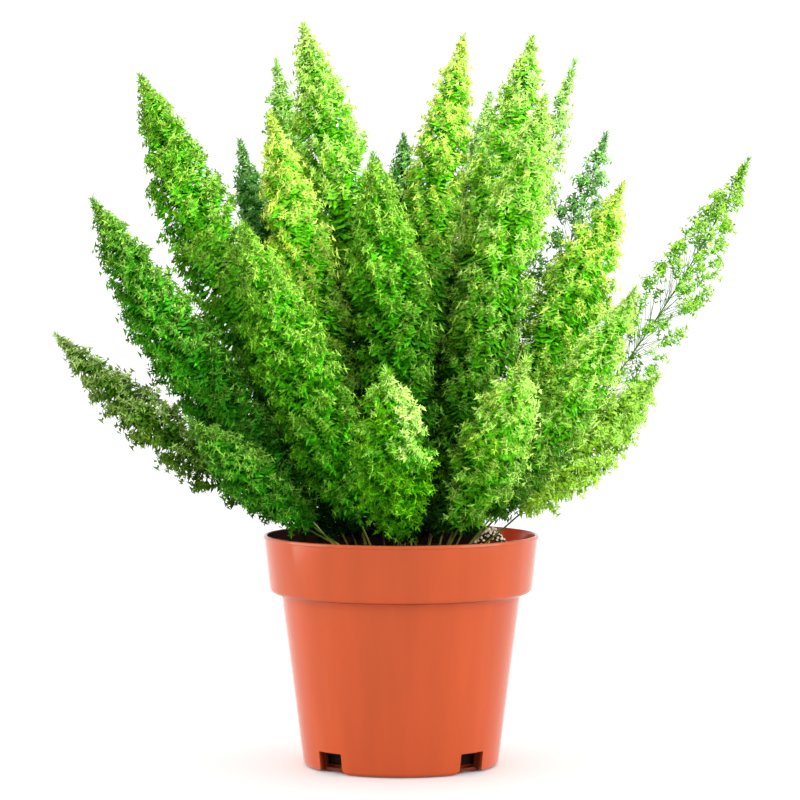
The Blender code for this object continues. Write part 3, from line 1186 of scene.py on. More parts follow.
@dataclass
class Perlite:
    """Heap of cream-white grains on the mix, with a few strewn round it."""

    mix: PottingMix
    centre: tuple[float, float] = (0.0500, 0.0150)
    radius: float = 0.0114
    height: float = 0.0128
    heap_count: int = 96
    heap_grain: Span = (0.0005, 0.0011)
    heap_lift: Span = (0.86, 1.0)
    heap_stray: Span = (-0.03, 0.03)
    core: float = 0.86
    core_foot: float = -0.2
    core_lump: float = 0.08
    core_lump_scale: float = 5
    strewn_count: int = 60
    strewn_reach: float = 0.030
    strewn_grain: Span = (0.0005, 0.0012)
    strewn_step: float = 0.4
    grain_lump: float = 0.34
    grain_lump_scale: float = 1.3
    grain_length: Span = (0.8, 1.25)
    grain_width: Span = (0.75, 1.1)
    grain_height: float = 0.85
    grain_lift: float = 0.6
    wall_room: float = 0.0035
    seed: int = 11

    def build(self) -> bpy.types.Object:
        """Builds and dresses the grains.

        Returns:
            The heap.
        """
        draw = random.Random(self.seed)
        bm = bmesh.new()
        self.add_core(bm)
        for index in range(self.heap_count):
            share = math.sqrt((index + draw.random()) / self.heap_count)
            step = index + draw.uniform(*self.heap_stray)
            lift = self.height * (1 - share**2) * draw.uniform(*self.heap_lift)
            size = draw.uniform(*self.heap_grain)
            self.grain(bm, draw, self.radius * share, step, lift, size)
        for index in range(self.strewn_count):
            out = self.radius + self.strewn_reach * draw.random() ** 2
            size = draw.uniform(*self.strewn_grain)
            self.grain(bm, draw, out, index + self.strewn_step, 0.0, size)
        heap = dressed("perlite_grains", bm, [PERLITE_FINISH.make(), CORE_FINISH.make()])
        return stand_in(heap, "perlite", "perlite_heap")

    def add_core(self, bm: bmesh.types.BMesh) -> None:
        """Adds the dark core that holds the heap's grains: partly the mix under them, partly a dark
        fill for the shade between them.

        Args:
            bm: What it is added to, which is empty.
        """
        x, y = self.centre
        made = bmesh.ops.create_icosphere(bm, subdivisions=4, radius=1)["verts"]
        for vert in made:
            bowl = math.copysign(1 - vert.co.x**2 - vert.co.y**2, vert.co.z)
            vert.co.z = max(self.core_foot, bowl)
            vert.co *= 1 + self.core_lump * noise.noise(vert.co * self.core_lump_scale)
        size = Matrix.Diagonal((self.radius, self.radius, self.height * self.core, 1))
        place = Matrix.Translation((x, y, self.mix.height(x, y)))
        bmesh.ops.transform(bm, matrix=place @ size, verts=made)
        for face in bm.faces:
            face.material_index = 1

    def grain(
        self,
        bm: bmesh.types.BMesh,
        draw: random.Random,
        out: float,
        step: float,
        lift: float,
        size: float,
    ) -> None:
        """Adds one lumpy grain, unless the pot's wall is in its way.

        Args:
            bm: What it is added to.
            draw: Source of random numbers.
            out: Distance from the heap's centre.
            step: Its step in the golden turn.
            lift: Height above the mix.
            size: Its radius.
        """
        x = self.centre[0] + out * math.cos(step * GOLDEN_TURN)
        y = self.centre[1] + out * math.sin(step * GOLDEN_TURN)
        if math.hypot(x, y) + size > self.mix.pot.rim_radius - self.wall_room:
            return
        made = bmesh.ops.create_icosphere(bm, subdivisions=2, radius=size)["verts"]
        offset = Vector((draw.random(), draw.random(), draw.random())) * 50
        for vert in made:
            spot = vert.co / size * self.grain_lump_scale + offset
            vert.co *= 1 + self.grain_lump * noise.noise(spot)
        length, width = draw.uniform(*self.grain_length), draw.uniform(*self.grain_width)
        shape = Matrix.Diagonal((length, width, self.grain_height, 1))
        spin = Matrix.Rotation(draw.uniform(0, math.tau), 4, (draw.random(), draw.random(), 1))
        height = self.mix.height(x, y) + lift + size * self.grain_lift
        place = Matrix.Translation((x, y, height))
        bmesh.ops.transform(bm, matrix=place @ spin @ shape, verts=made)


# Fronds


class Habit(Enum):
    """How densely a frond is set with branchlets and needles."""

    FULL = "full"
    DENSE = "dense"
    OPEN = "open"
    LACY = "lacy"
    HIDDEN = "hidden"


DENSITY = {Habit.FULL: 1.16, Habit.DENSE: 1.0, Habit.OPEN: 0.9, Habit.LACY: 0.75}


@dataclass(frozen=True)
class Frond:
    """A frond: where it roots and ends, how far its branchlets reach and how it is coloured.

    Sizes are in millimetres. The roots are the CAD model's, and so are all tips but one. Some
    radii and sags and most bare lengths are fitted more closely. The sag is how far the stem
    hangs outwards of a straight line, and the bare length is the stem below the first
    branchlets. Clumping draws the branchlets together in tufts, from 0 where they are even to 1.
    """

    name: str
    root: tuple[float, float]
    tip: tuple[float, float, float]
    radius: float
    sag: float = 0.0
    bare: float = 26.0
    tone: Tone = Tone.MID
    habit: Habit = Habit.DENSE
    clumping: float = 0.1


FRONDS = (
    Frond("far_left", (-28.5, -1), (-188, -20, 237), 17, 8, 38, Tone.OLIVE, Habit.OPEN),
    Frond("left_middle", (-31, -15), (-165, -45, 310), 22, 8, 26, Tone.MID, Habit.FULL),
    Frond("left_high", (-27.5, 6.5), (-145, 25, 380), 25, 3, 8, Tone.FRESH, Habit.FULL),
    Frond("left_front_low", (-24, -20), (-112, -88, 194), 16, 3, 34, Tone.MID),
    Frond("front_left", (-13.5, -27), (-81, -105, 295), 23.5, 3, 22, Tone.FRESH),
    Frond("upper_left", (-18.5, -7.5), (-70.5, -25, 356), 22, 0, 10, Tone.GOLDEN),
    Frond("tall_left", (0, 2), (-54.5, 22, 408), 27, -5, 5, Tone.BRIGHT),
    Frond("rear_left_tall", (-18.5, 16), (-70.5, 62, 391), 18.5, 8, 6, Tone.PALE),
    Frond("rear_left_dark", (-24, 25.5), (-93, 92, 347), 17, 6, 6, Tone.DEEP),
    Frond("centre", (6, -12), (-15, -50, 334), 24, -4, 6, Tone.FRESH),
    Frond("rear_centre", (0.5, 24.5), (1.5, 95, 350), 20, 0, 5, Tone.DEEP, Habit.OPEN, 0.2),
    Frond("upper_centre", (2, 12), (35, 30, 402), 21, -6, 5, Tone.GOLDEN),
    Frond("rear_right_pale", (15, 32), (52, 120, 375), 16.5, 0, 5, Tone.PALE),
    Frond("tall_right", (15, 6), (73, 25, 401), 25, 1, 6, Tone.BRIGHT, Habit.OPEN, 0.15),
    Frond("upper_right", (20, -8.5), (77.5, -32, 366), 21, 0, 10, Tone.BRIGHT),
    Frond("rear_right_thin", (26, 21), (100, 85, 392), 14.5, -4, 8, Tone.PALE, Habit.LACY, 0.3),
    Frond("right_dark", (24, 14), (116, 55, 349), 18, 5, 10, Tone.DEEP, Habit.LACY, 0.1),
    Frond("right_bright", (28.5, -3), (121, -15, 319), 23, 1.5, 12, Tone.GOLDEN),
    Frond("right_middle", (31, -16.5), (124.5, -62, 263), 17, 6, 28, Tone.BRIGHT),
    Frond("far_right", (34, 5), (190, 0, 332), 20.5, 11.5, 24, Tone.FRESH, Habit.LACY, 0.3),
    Frond("right_low", (38.5, -10), (140, -32, 216), 17.5, 3, 34, Tone.FRINGED),
    Frond("front_small", (-1, -28), (-7, -150, 221), 21.5, 5, 26, Tone.SUNNY),
    Frond("front_right", (23, -25), (65, -102, 226), 21.5, 3, 23, Tone.BRIGHT),
    Frond("back_left_low", (-32.5, 21.5), (-136, 95, 250), 23, 6, 9, Tone.MID, Habit.OPEN),
    Frond("back_left", (-18.5, 34.5), (-72, 135, 285), 22, 5, 6, Tone.FRESH, Habit.OPEN),
    Frond("back_left_high", (-9, 28), (-38, 112, 335), 18, 2, 5, Tone.MID, Habit.OPEN),
    Frond("back_centre_low", (-3.5, 38.5), (-16, 150, 240), 22, 6, 6, Tone.FRESH, Habit.OPEN),
    Frond("back_right", (8.5, 36), (50, 138, 300), 22, 5, 6, Tone.BRIGHT, Habit.OPEN),
    Frond("back_right_low", (25.5, 31.5), (108, 118, 262), 22, 6, 9, Tone.MID, Habit.OPEN),
    Frond("inner_rear", (8, 19.5), (22, 66, 330), 17, 0, 4, Tone.MID),
)


@dataclass
class StemLine:
    """The curve of a frond's stem, and how far its branchlets reach along it, in metres."""

    frond: Frond
    mix: PottingMix
    tip_taper: float = 0.42
    tip_bluntness: float = 0.010
    taper_power: float = 0.85
    foot_taper: float = 0.35
    foot_reach: float = 0.3
    buried: float = 0.0110
    length_steps: int = 20
    reach_rounds: int = 6
    rim_clearance: float = 0.0025
    soil_clearance: float = 0.003

    def __post_init__(self) -> None:
        """Works out the curve's fixed values."""
        x, y = (value * MM for value in self.frond.root)
        self.root = Vector((x, y, self.mix.height(x, y)))
        self.tip = Vector(self.frond.tip) * MM
        self.radius = self.frond.radius * MM
        along = (self.tip - self.root).normalized()
        outwards = Vector((self.tip.x, self.tip.y, 0)).normalized()
        self.hang = (outwards - along * outwards.dot(along)).normalized()
        steps = self.length_steps
        points = [self.point(step / steps) for step in range(steps + 1)]
        self.length = sum((b - a).length for a, b in zip(points, points[1:]))
        self.bare = self.frond.bare * MM / self.length

    def point(self, share: float) -> Vector:
        """The place on the stem at a share of its length. Below 0 it runs on straight.

        Args:
            share: The share, which is 1 at the tip.

        Returns:
            The place.
        """
        if share < 0:
            return self.root + self.way(0) * (share * self.length)
        sag = 4 * share * (1 - share) * self.frond.sag * MM
        return self.root.lerp(self.tip, share) + self.hang * sag

    def way(self, share: float) -> Vector:
        """Unit vector along the stem, towards its tip."""
        sag = 4 * (1 - 2 * share) * self.frond.sag * MM
        return ((self.tip - self.root) + self.hang * sag).normalized()

    def outward(self, share: float, turn: float) -> Vector:
        """Unit vector square to the stem, at an angle round it.

        Args:
            share: Where on the stem.
            turn: The angle.

        Returns:
            The vector.
        """
        way = self.way(share)
        across = self.hang.cross(way).normalized()
        return across * math.cos(turn) + way.cross(across) * math.sin(turn)

    def fullness(self, share: float) -> float:
        """Reach of the branchlets at a place, as a share of the plume's widest radius.

        Args:
            share: Where on the stem.

        Returns:
            The reach.
        """
        left = max(0, 1 - share) + self.tip_bluntness
        taper = math.sin(math.pi / 2 * min(1, left / self.tip_taper)) ** self.taper_power
        leafy = max(0, share - self.bare)
        grown = math.sin(math.pi / 2 * min(1, leafy / self.foot_taper))
        return taper * (self.foot_reach + (1 - self.foot_reach) * grown)

    def reach(self, share: float, rise: float) -> float:
        """Reach of a branchlet that ends on the plume's outside.

        Args:
            share: Where on the stem it starts.
            rise: How steeply it rises from square to the stem, in radians.

        Returns:
            Its reach square to the stem.
        """
        found = 0.0
        for _ in range(self.reach_rounds):
            further = share + found * math.tan(rise) / self.length
            found = self.radius * self.fullness(further)
        return found

    def is_clear(self, point: Vector) -> bool:
        """Whether a point is clear of the pot and the potting mix.

        Args:
            point: The point.

        Returns:
            True where it is clear.
        """
        out = math.hypot(point.x, point.y)
        pot = self.mix.pot
        if out > pot.rim_radius - pot.wall - self.rim_clearance:
            return point.z > pot.height + self.rim_clearance
        return point.z > self.mix.height(point.x, point.y) + self.soil_clearance


@dataclass(frozen=True)
class NeedleSize:
    """Length, width and lean of the needles at one place on a branchlet.

    Sizes are in millimetres and the lean, from the branchlet's own direction, in degrees.
    """

    length: float
    width: float
    lean: Span


@dataclass
class BranchletKit:
    """A set of branchlets of several lengths, which the fronds use again and again.

    A branchlet stands on the origin along +Z and bends a little towards +X. Near the stem it
    has a few broad old needles, and over its outer part sprigs of fine ones.
    """

    lengths: tuple[float, ...] = (3, 5, 7.5, 10, 13, 16.5, 20, 24, 28, 33)
    variants: int = 4
    old_needle: NeedleSize = NeedleSize(4.7, 2.5, (62, 85))
    fine_needle: NeedleSize = NeedleSize(2.6, 0.66, (52, 84))
    tip_needle: NeedleSize = NeedleSize(2.7, 0.62, (8, 40))
    needle_form: Corners = ((-0.22, -0.5, 0.36), (0, 0, 0), (-0.22, 0.5, 0.36))
    pair_form: Corners = ((-1, 0, 1), (0, -0.5, 0), (0, 0.5, 0))
    pair_point: tuple[float, float, float] = (1, 0, 1)
    needle_range: Span = (0.80, 1.15)
    needle_roll: Span = (-0.7, 0.7)
    pair_tilt: Span = (-0.25, 0.25)
    old_gap: float = 2.5
    old_start: float = 0.6
    old_stray: float = 0.5
    old_stop: float = 0.7
    old_reach: float = 0.6
    sprig_length: float = 5.6
    sprig_range: Span = (0.75, 1.0)
    sprig_gap: float = 5.0
    sprig_splay: Span = (28, 62)
    most_sprigs: int = 4
    side_top: float = 0.75
    side_gap: float = 0.8
    side_reach: float = 0.95
    side_fall: float = 0.08
    lowest_side: float = 0.5
    whorl_gap: float = 1.12
    whorl_start: float = 0.6
    whorl_turn: Span = (55, 100)
    whorl_reach: Span = (0.72, 0.28)
    tip_needles: int = 2
    tip_at: float = 0.9
    tip_stray: Span = (-0.4, 0.4)
    bend: float = 0.10
    bend_over: float = 40
    twig_radius: float = 0.26
    seed: int = 3
    meshes: dict[float, list[bpy.types.Mesh]] = field(default_factory=dict)

    def build(self) -> None:
        """Makes every length and variant."""
        draw = random.Random(self.seed)
        self.needle = self.blade("needle", self.needle_form)
        self.pair = self.blade("pair", self.pair_form, self.pair_point)
        for length in self.lengths:
            self.meshes[length] = [self.branchlet(length, draw) for _ in range(self.variants)]

    def clear(self) -> None:
        """Removes the meshes that only the fronds' own meshes were made from."""
        branchlets = [mesh for group in self.meshes.values() for mesh in group]
        for mesh in [self.needle, self.pair, *branchlets]:
            bpy.data.meshes.remove(mesh)

    def blade(
        self, name: str, base: Corners, point: tuple[float, float, float] = (0, 0, 1)
    ) -> bpy.types.Mesh:
        """A thin closed blade of four faces: one needle along +Z, or an opposite pair.

        Args:
            name: The mesh's name.
            base: Three corners, whose height is how young the blade is there.
            point: The fourth corner.

        Returns:
            The blade's mesh, of unit size.
        """
        bm = bmesh.new()
        young = bm.verts.layers.float.new("needle")
        for layer in ("reach", "grain"):
            bm.verts.layers.float.new(layer)
        bmesh.ops.create_cone(bm, cap_ends=True, segments=3, radius1=1, radius2=0, depth=1)
        top = max(bm.verts, key=lambda vert: vert.co.z)
        low = sorted((vert for vert in bm.verts if vert != top), key=lambda vert: vert.co.x)
        for vert, place in zip((*low, top), (*base, point)):
            vert.co = place
            vert[young] = place[2]
        bmesh.ops.recalc_face_normals(bm, faces=bm.faces)
        mesh = bpy.data.meshes.new(name)
        bm.to_mesh(mesh)
        bm.free()
        return mesh

    def add_blade(
        self,
        bm: bmesh.types.BMesh,
        stand: Matrix,
        share: float,
        size: NeedleSize,
        draw: random.Random,
        paired: bool,
    ) -> None:
        """Adds one needle or an opposite pair to a branchlet, in millimetres.

        Args:
            bm: The branchlet.
            stand: The place that it grows from, with +Z along the twig.
            share: How far up the branchlet that is, from 0 to 1.
            size: Its size and lean.
            draw: Source of random numbers.
            paired: Whether it is a pair.
        """
        length = size.length * draw.uniform(*self.needle_range)
        lean = math.radians(draw.uniform(*size.lean))
        if paired:
            tilt = Matrix.Rotation(draw.uniform(*self.pair_tilt), 4, "Y")
            form = (length * math.sin(lean), size.width, length * math.cos(lean), 1)
            matrix = stand @ tilt @ Matrix.Diagonal(form)
        else:
            roll = Matrix.Rotation(draw.uniform(*self.needle_roll), 4, "Z")
            form = (size.width, size.width, length, 1)
            matrix = stand @ Matrix.Rotation(lean, 4, "Y") @ roll @ Matrix.Diagonal(form)
        merge_in(bm, self.pair if paired else self.needle, matrix)
        mark_last(bm, 4, reach=share, grain=draw.random())

    def add_sprig(
        self, bm: bmesh.types.BMesh, root: Matrix, length: float, share: float, draw: random.Random
    ) -> None:
        """Adds a sprig: whorls of fine needles up to a tuft at its tip.

        Args:
            bm: The branchlet.
            root: Where the sprig starts, with +Z along it.
            length: Its length in millimetres.
            share: How far out its tip is, from 0 to 1.
            draw: Source of random numbers.
        """
        whorls = max(1, round(length / self.whorl_gap))
        least, gain = self.whorl_reach
        turn = draw.uniform(0, math.tau)
        for whorl in range(whorls):
            up = length * (whorl + self.whorl_start) / whorls
            turn += math.radians(draw.uniform(*self.whorl_turn))
            stand = root @ Matrix.Translation((0, 0, up)) @ Matrix.Rotation(turn, 4, "Z")
            part = share * (least + gain * up / length)
            self.add_blade(bm, stand, part, self.fine_needle, draw, True)
        top = root @ Matrix.Translation((0, 0, length * self.tip_at))
        for index in range(self.tip_needles):
            turn = math.tau * index / self.tip_needles + draw.uniform(*self.tip_stray)
            stand = top @ Matrix.Rotation(turn, 4, "Z")
            self.add_blade(bm, stand, share, self.tip_needle, draw, False)

    def branchlet(self, length: float, draw: random.Random) -> bpy.types.Mesh:
        """Makes one branchlet.

        Args:
            length: Its length in millimetres.
            draw: Source of random numbers.

        Returns:
            Its mesh, in metres.
        """
        bm = bmesh.new()
        for layer in ("needle", "reach", "grain"):
            bm.verts.layers.float.new(layer)
        reach = bm.verts.layers.float["reach"]
        made = bmesh.ops.create_cone(
            bm, segments=3, radius1=self.twig_radius, radius2=0, depth=length, cap_ends=True
        )["verts"]
        bmesh.ops.translate(bm, vec=(0, 0, length / 2), verts=made)
        for vert in made:
            vert[reach] = vert.co.z / length
        for face in bm.faces:
            face.material_index = 1
        old_to = length - self.old_stop * self.sprig_length
        for step in range(round(old_to / self.old_gap)):
            up = self.old_gap * (step + self.old_start + draw.random() * self.old_stray)
            turn = Matrix.Rotation(step * GOLDEN_TURN + draw.random(), 4, "Z")
            stand = Matrix.Translation((0, 0, up)) @ turn
            part = self.old_reach * up / length
            self.add_blade(bm, stand, part, self.old_needle, draw, True)
        top = Matrix.Translation((0, 0, max(0.0, length - self.sprig_length)))
        self.add_sprig(bm, top, min(length, self.sprig_length), 1.0, draw)
        for index in range(self.side_sprigs(length)):
            level = index // 2
            down = self.sprig_length * self.side_top
            up = length - down - self.sprig_gap * level * self.side_gap
            turn = Matrix.Rotation(index * GOLDEN_TURN + draw.random(), 4, "Z")
            splay = Matrix.Rotation(math.radians(draw.uniform(*self.sprig_splay)), 4, "Y")
            root = Matrix.Translation((0, 0, max(self.lowest_side, up))) @ turn @ splay
            part = self.side_reach - self.side_fall * level
            sprig = self.sprig_length * draw.uniform(*self.sprig_range)
            self.add_sprig(bm, root, sprig, part, draw)
        for vert in bm.verts:
            vert.co.x += self.bend * vert.co.z**2 / self.bend_over
        bmesh.ops.scale(bm, vec=(MM, MM, MM), verts=bm.verts)
        mesh = bpy.data.meshes.new("branchlet")
        bm.to_mesh(mesh)
        bm.free()
        return mesh

    def side_sprigs(self, length: float) -> int:
        """How many sprigs a branchlet of a length has besides the one at its end."""
        return min(self.most_sprigs, int(length / self.sprig_gap))

    def pick(self, length: float, draw: random.Random) -> tuple[bpy.types.Mesh, float]:
        """Picks a branchlet near a length.

        Args:
            length: The length that it should have, in metres.
            draw: Source of random numbers.

        Returns:
            Its mesh, and the scale that gives it that length.
        """
        nearest = min(self.lengths, key=lambda each: abs(each - length / MM))
        return draw.choice(self.meshes[nearest]), length / (nearest * MM)


@dataclass
class Thicket:
    """The room that each plume has among its neighbours.

    A point is in a plume's room where it lies relatively nearer to that plume's stem than to
    any other, so that no plume grows through the next one.
    """

    lines: list[StemLine]
    samples: int = 34
    room: float = 1.05
    least_radius: float = 0.004
    cover: float = 0.8
    look_steps: tuple[float, ...] = (0.012, 0.024, 0.040, 0.060)
    look_rings: tuple[tuple[int, float], ...] = ((7, 5), (6, 40))
    look_start: float = 0.25
    look_back: float = -0.2

    def __post_init__(self) -> None:
        """Samples the stems and their plumes' radii, and lays out the looks outwards."""
        self.looks = [Vector((0, 0, 1))]
        for count, climb in self.look_rings:
            for index in range(count):
                turn = math.tau * (index + self.look_start) / count
                rise = math.radians(climb)
                flat = Vector((math.cos(turn), math.sin(turn), 0)) * math.cos(rise)
                self.looks.append(flat + Vector((0, 0, math.sin(rise))))
        shares = [step / (self.samples - 1) for step in range(self.samples)]
        self.centres = np.array([[line.point(share) for share in shares] for line in self.lines])
        self.radii = np.array(
            [
                [max(self.least_radius, line.radius * line.fullness(share)) for share in shares]
                for line in self.lines
            ]
        )

    def has_room(self, own: int, point: Vector) -> bool:
        """Whether a point is in a plume's own room.

        Args:
            own: The plume's number.
            point: The point.

        Returns:
            True where no other plume has a better claim to it.
        """
        spans = np.linalg.norm(self.centres - np.array(point), axis=2) / self.radii
        nearest = spans.min(axis=1)
        mine = nearest[own]
        nearest[own] = math.inf
        other = nearest.min()
        return other >= 1 or mine <= other * self.room

    def openness(self, own: int, point: Vector, outward: Vector) -> float:
        """How open a point is to the outside, past the other plumes.

        Args:
            own: The number of the point's plume.
            point: The point.
            outward: The way that its branchlet grows.

        Returns:
            The share of the looks outwards that meet no other plume, from 0 to 1.
        """
        ways = [way for way in self.looks if way.dot(outward) > self.look_back]
        steps = np.array([[way * far for far in self.look_steps] for way in ways])
        spots = steps.reshape(-1, 1, 1, 3) + np.array(point)
        spans = np.linalg.norm(self.centres[None] - spots, axis=3) / self.radii[None]
        nearest = spans.min(axis=2)
        nearest[:, own] = math.inf
        met = (nearest.min(axis=1) < self.cover).reshape(len(ways), -1).any(axis=1)
        return 1 - met.mean()


@dataclass
class Growth:
    """What a frond's mesh is made of so far: its stem first, then shoot after shoot."""

    bm: bmesh.types.BMesh
    counts: list[int] = field(default_factory=list)
    tones: list[float] = field(default_factory=list)
    shares: list[float] = field(default_factory=list)
    opens: list[float] = field(default_factory=list)

    def note(self, count: int, tone: float, share: float, openness: float = 1.0) -> None:
        """Notes a shoot's vertices, its tone, its place on the stem and how open it stands.

        Args:
            count: Its number of vertices.
            tone: Its tone, from 0 to 1.
            share: Its place on the stem, from 0 to 1.
            openness: How open it stands, from 0 to 1.
        """
        self.counts.append(count)
        self.tones.append(tone)
        self.shares.append(share)
        self.opens.append(openness)

    def paint(self, mesh: bpy.types.Mesh) -> None:
        """Writes the tone, the openness and the growth that the materials read.

        Args:
            mesh: The finished mesh, whose stem comes first.
        """
        for name, values in (("tone", self.tones), ("open", self.opens)):
            layer = mesh.attributes.new(name, "FLOAT", "POINT")
            layer.data.foreach_set("value", np.repeat(values, self.counts).astype(np.float32))
        growth = mesh.attributes["growth"]
        values = np.zeros(len(mesh.vertices), np.float32)
        growth.data.foreach_get("value", values)
        values[self.counts[0] :] = np.repeat(self.shares[1:], self.counts[1:])
        growth.data.foreach_set("value", values)


def facing(base: Vector, slope: Vector, up_side: Vector) -> Matrix:
    """The place of a shoot.

    Args:
        base: Where it starts.
        slope: Unit vector along it.
        up_side: The way that it bends.
    """
    side = (up_side - slope * up_side.dot(slope)).normalized()
    frame = Matrix((side, slope.cross(side), slope)).transposed().to_4x4()
    return Matrix.Translation(base) @ frame


@dataclass
class Plume:
    """One frond: a bending stem with branchlets all round it, each full of needles."""

    line: StemLine
    thicket: Thicket
    kits: dict[Habit, BranchletKit]
    number: int
    needles: bpy.types.Material
    stem_green: bpy.types.Material
    seed: int = 100
    spacing: float = 0.00084
    last_at: float = 0.985
    place_stray: float = 0.6
    turn_stray: Span = (-0.25, 0.25)
    rise: float = 40
    rise_gain: float = 18
    rise_stray: Span = (-10, 10)
    evenness: Span = (0.90, 1.14)
    clear_parts: tuple[float, ...] = (0.4, 0.7, 1.0)
    shorten: float = 0.9
    needle_reach: float = 0.0020
    least_length: float = 0.0014
    least_open: float = 0.20
    tuft_size: int = 9
    tuft_pull: float = 0.8
    # sun, tone_sun and tone_open make each branchlet's tone partly painted light
    sun: tuple[float, float, float] = (0.64, -0.34, 0.69)
    tone_middle: float = 0.42
    tone_sun: float = 0.46
    tone_open: float = 0.11
    tone_stray: float = 0.42
    stem_radius: float = 0.00056
    stem_tip_radius: float = 0.00030
    stem_taper: float = 0.8
    stem_rings: int = 26
    stem_sides: int = 6
    top_gap: float = 0.0035
    spire_length: float = 0.012
    spire_start: float = 0.0022
    spire_gap: float = 0.00014
    spire_width: float = 0.00060
    spire_needle: Span = (0.0044, 0.0060)
    spire_lean: Span = (22, 66)
    spire_lean_gain: float = 16
    spire_evenness: Span = (0.8, 1.2)
    spire_reach: float = 0.85
    spire_tone: Span = (0.3, 0.9)

    def stem(self, bm: bmesh.types.BMesh) -> None:
        """Adds the stem to a bmesh that is empty.

        Args:
            bm: The frond.
        """
        bmesh.ops.create_cone(
            bm, cap_ends=True, segments=self.stem_sides, radius1=1, radius2=1, depth=1
        )
        upright = [e for e in bm.edges if abs(e.verts[0].co.z - e.verts[1].co.z) > 0.5]
        cuts = self.stem_rings - 1
        bmesh.ops.subdivide_edges(bm, edges=upright, cuts=cuts, use_grid_fill=True)
        sunk = self.line.buried / self.line.length
        top = 1 - self.top_gap / self.line.length
        growth = bm.verts.layers.float["growth"]
        for vert in bm.verts:
            share = (vert.co.z + 0.5) * (top + sunk) - sunk
            turn = math.atan2(vert.co.y, vert.co.x)
            taper = max(0.0, share) ** self.stem_taper
            radius = self.stem_radius + (self.stem_tip_radius - self.stem_radius) * taper
            outward = self.line.outward(max(0.0, share), turn)
            vert.co = self.line.point(share) + outward * radius
            vert[growth] = max(0.0, share)
        for face in bm.faces:
            face.material_index = 1
            face.smooth = True

    def branchlet_place(
        self, share: float, turn: float, draw: random.Random
    ) -> tuple[Matrix, float] | None:
        """Works out where one branchlet goes.

        Args:
            share: Its place on the stem.
            turn: Its angle round the stem.
            draw: Source of random numbers.

        Returns:
            Its place and its length in metres, or None where it has no room.
        """
        line = self.line
        climb = self.rise + self.rise_gain * share + draw.uniform(*self.rise_stray)
        rise = math.radians(climb)
        reach = line.reach(share, rise) * draw.uniform(*self.evenness)
        way, outward = line.way(share), line.outward(share, turn)
        slope = outward * math.cos(rise) + way * math.sin(rise)
        base = line.point(share)
        length = reach / math.cos(rise)
        while length > self.least_length:
            spots = (base + slope * (length * part) for part in self.clear_parts)
            if all(line.is_clear(spot) for spot in spots):
                if self.thicket.has_room(self.number, base + slope * length):
                    break
            length *= self.shorten
        length -= self.needle_reach
        return (facing(base, slope, way), length) if length > self.least_length else None

    def tuft(self, index: int, number: int) -> tuple[float, float]:
        """Where a branchlet grows, drawn towards the middle of its tuft.

        Args:
            index: Its number, from the lowest.
            number: How many there are.

        Returns:
            Its place among the frond's branchlets, from 0 to 1, and its angle.
        """
        clumping = self.line.frond.clumping
        tuft = index // self.tuft_size
        middle = (tuft + 0.5) * self.tuft_size
        up = (index + (middle - index) * clumping * self.tuft_pull) / number
        turn, centre = index * GOLDEN_TURN, tuft * GOLDEN_TURN
        aside = (turn - centre + math.pi) % math.tau - math.pi
        return up, centre + aside * (1 - clumping)

    def branchlets(self, made: Growth, draw: random.Random) -> None:
        """Adds the branchlets, from the lowest to the highest.

        Args:
            made: The frond so far.
            draw: Source of random numbers.
        """
        line = self.line
        leafy = (1 - line.bare) * line.length
        number = round(leafy / self.spacing * DENSITY[line.frond.habit])
        for index in range(number):
            up, turn = self.tuft(index, number)
            up = min(1, up + draw.random() * self.place_stray / number)
            share = line.bare + (self.last_at - line.bare) * up
            found = self.branchlet_place(share, turn + draw.uniform(*self.turn_stray), draw)
            if found is None:
                continue
            place, length = found
            slope = place.to_3x3() @ Vector((0, 0, 1))
            openness = self.thicket.openness(self.number, place.translation, slope)
            kit = self.kits[line.frond.habit if openness > self.least_open else Habit.HIDDEN]
            mesh, scale = kit.pick(length, draw)
            count = merge_in(made.bm, mesh, place @ Matrix.Scale(scale, 4))
            # The tone is painted light where the branchlet faces the sun and stands open, plus a
            # random share
            sunny = slope.dot(Vector(self.sun))
            tone = self.tone_middle + self.tone_sun * sunny + self.tone_open * openness
            tone += self.tone_stray * (draw.random() - 0.5)
            made.note(count, min(1.0, max(0.0, tone)), share, openness)

    def spire(self, made: Growth, draw: random.Random) -> None:
        """Ends the stem in a slender point of short needles.

        Args:
            made: The frond so far.
            draw: Source of random numbers.
        """
        line = self.line
        for index in range(round(self.spire_length / self.spire_gap)):
            below = self.spire_start + index * self.spire_gap
            share = 1 - below / line.length
            spread = below / self.spire_length
            lean = draw.uniform(*self.spire_lean) + self.spire_lean_gain * spread
            lean = math.radians(lean)
            out = line.radius * line.fullness(share) * draw.uniform(*self.spire_evenness)
            shortest, longest = self.spire_needle
            length = min(longest, max(shortest, out / math.sin(lean)))
            way, outward = line.way(share), line.outward(share, index * GOLDEN_TURN)
            slope = way * math.cos(lean) + outward * math.sin(lean)
            size = Matrix.Diagonal((self.spire_width, self.spire_width, length, 1))
            place = facing(line.point(share), slope, outward) @ size
            count = merge_in(made.bm, self.kits[line.frond.habit].needle, place)
            mark_last(made.bm, count, reach=self.spire_reach, grain=draw.random())
            made.note(count, draw.uniform(*self.spire_tone), share)

    def build(self) -> bpy.types.Object:
        """Builds and dresses the frond.

        Returns:
            The frond.
        """
        frond = self.line.frond
        draw = random.Random(self.seed + self.number)
        bm = bmesh.new()
        for name in ("needle", "reach", "grain", "growth"):
            bm.verts.layers.float.new(name)
        self.stem(bm)
        made = Growth(bm)
        made.note(len(bm.verts), 0.5, 0.0)
        self.branchlets(made, draw)
        self.spire(made, draw)
        piece = dressed("plume_" + frond.name, bm, [self.needles, self.stem_green])
        made.paint(piece.data)
        return stand_in(piece, frond.tone.slot, "frond_" + frond.name)


# Studio


class Subject(Enum):
    """What a light is put up for."""

    FERN = "fern"
    POT = "pot"
    FLOOR = "floor"


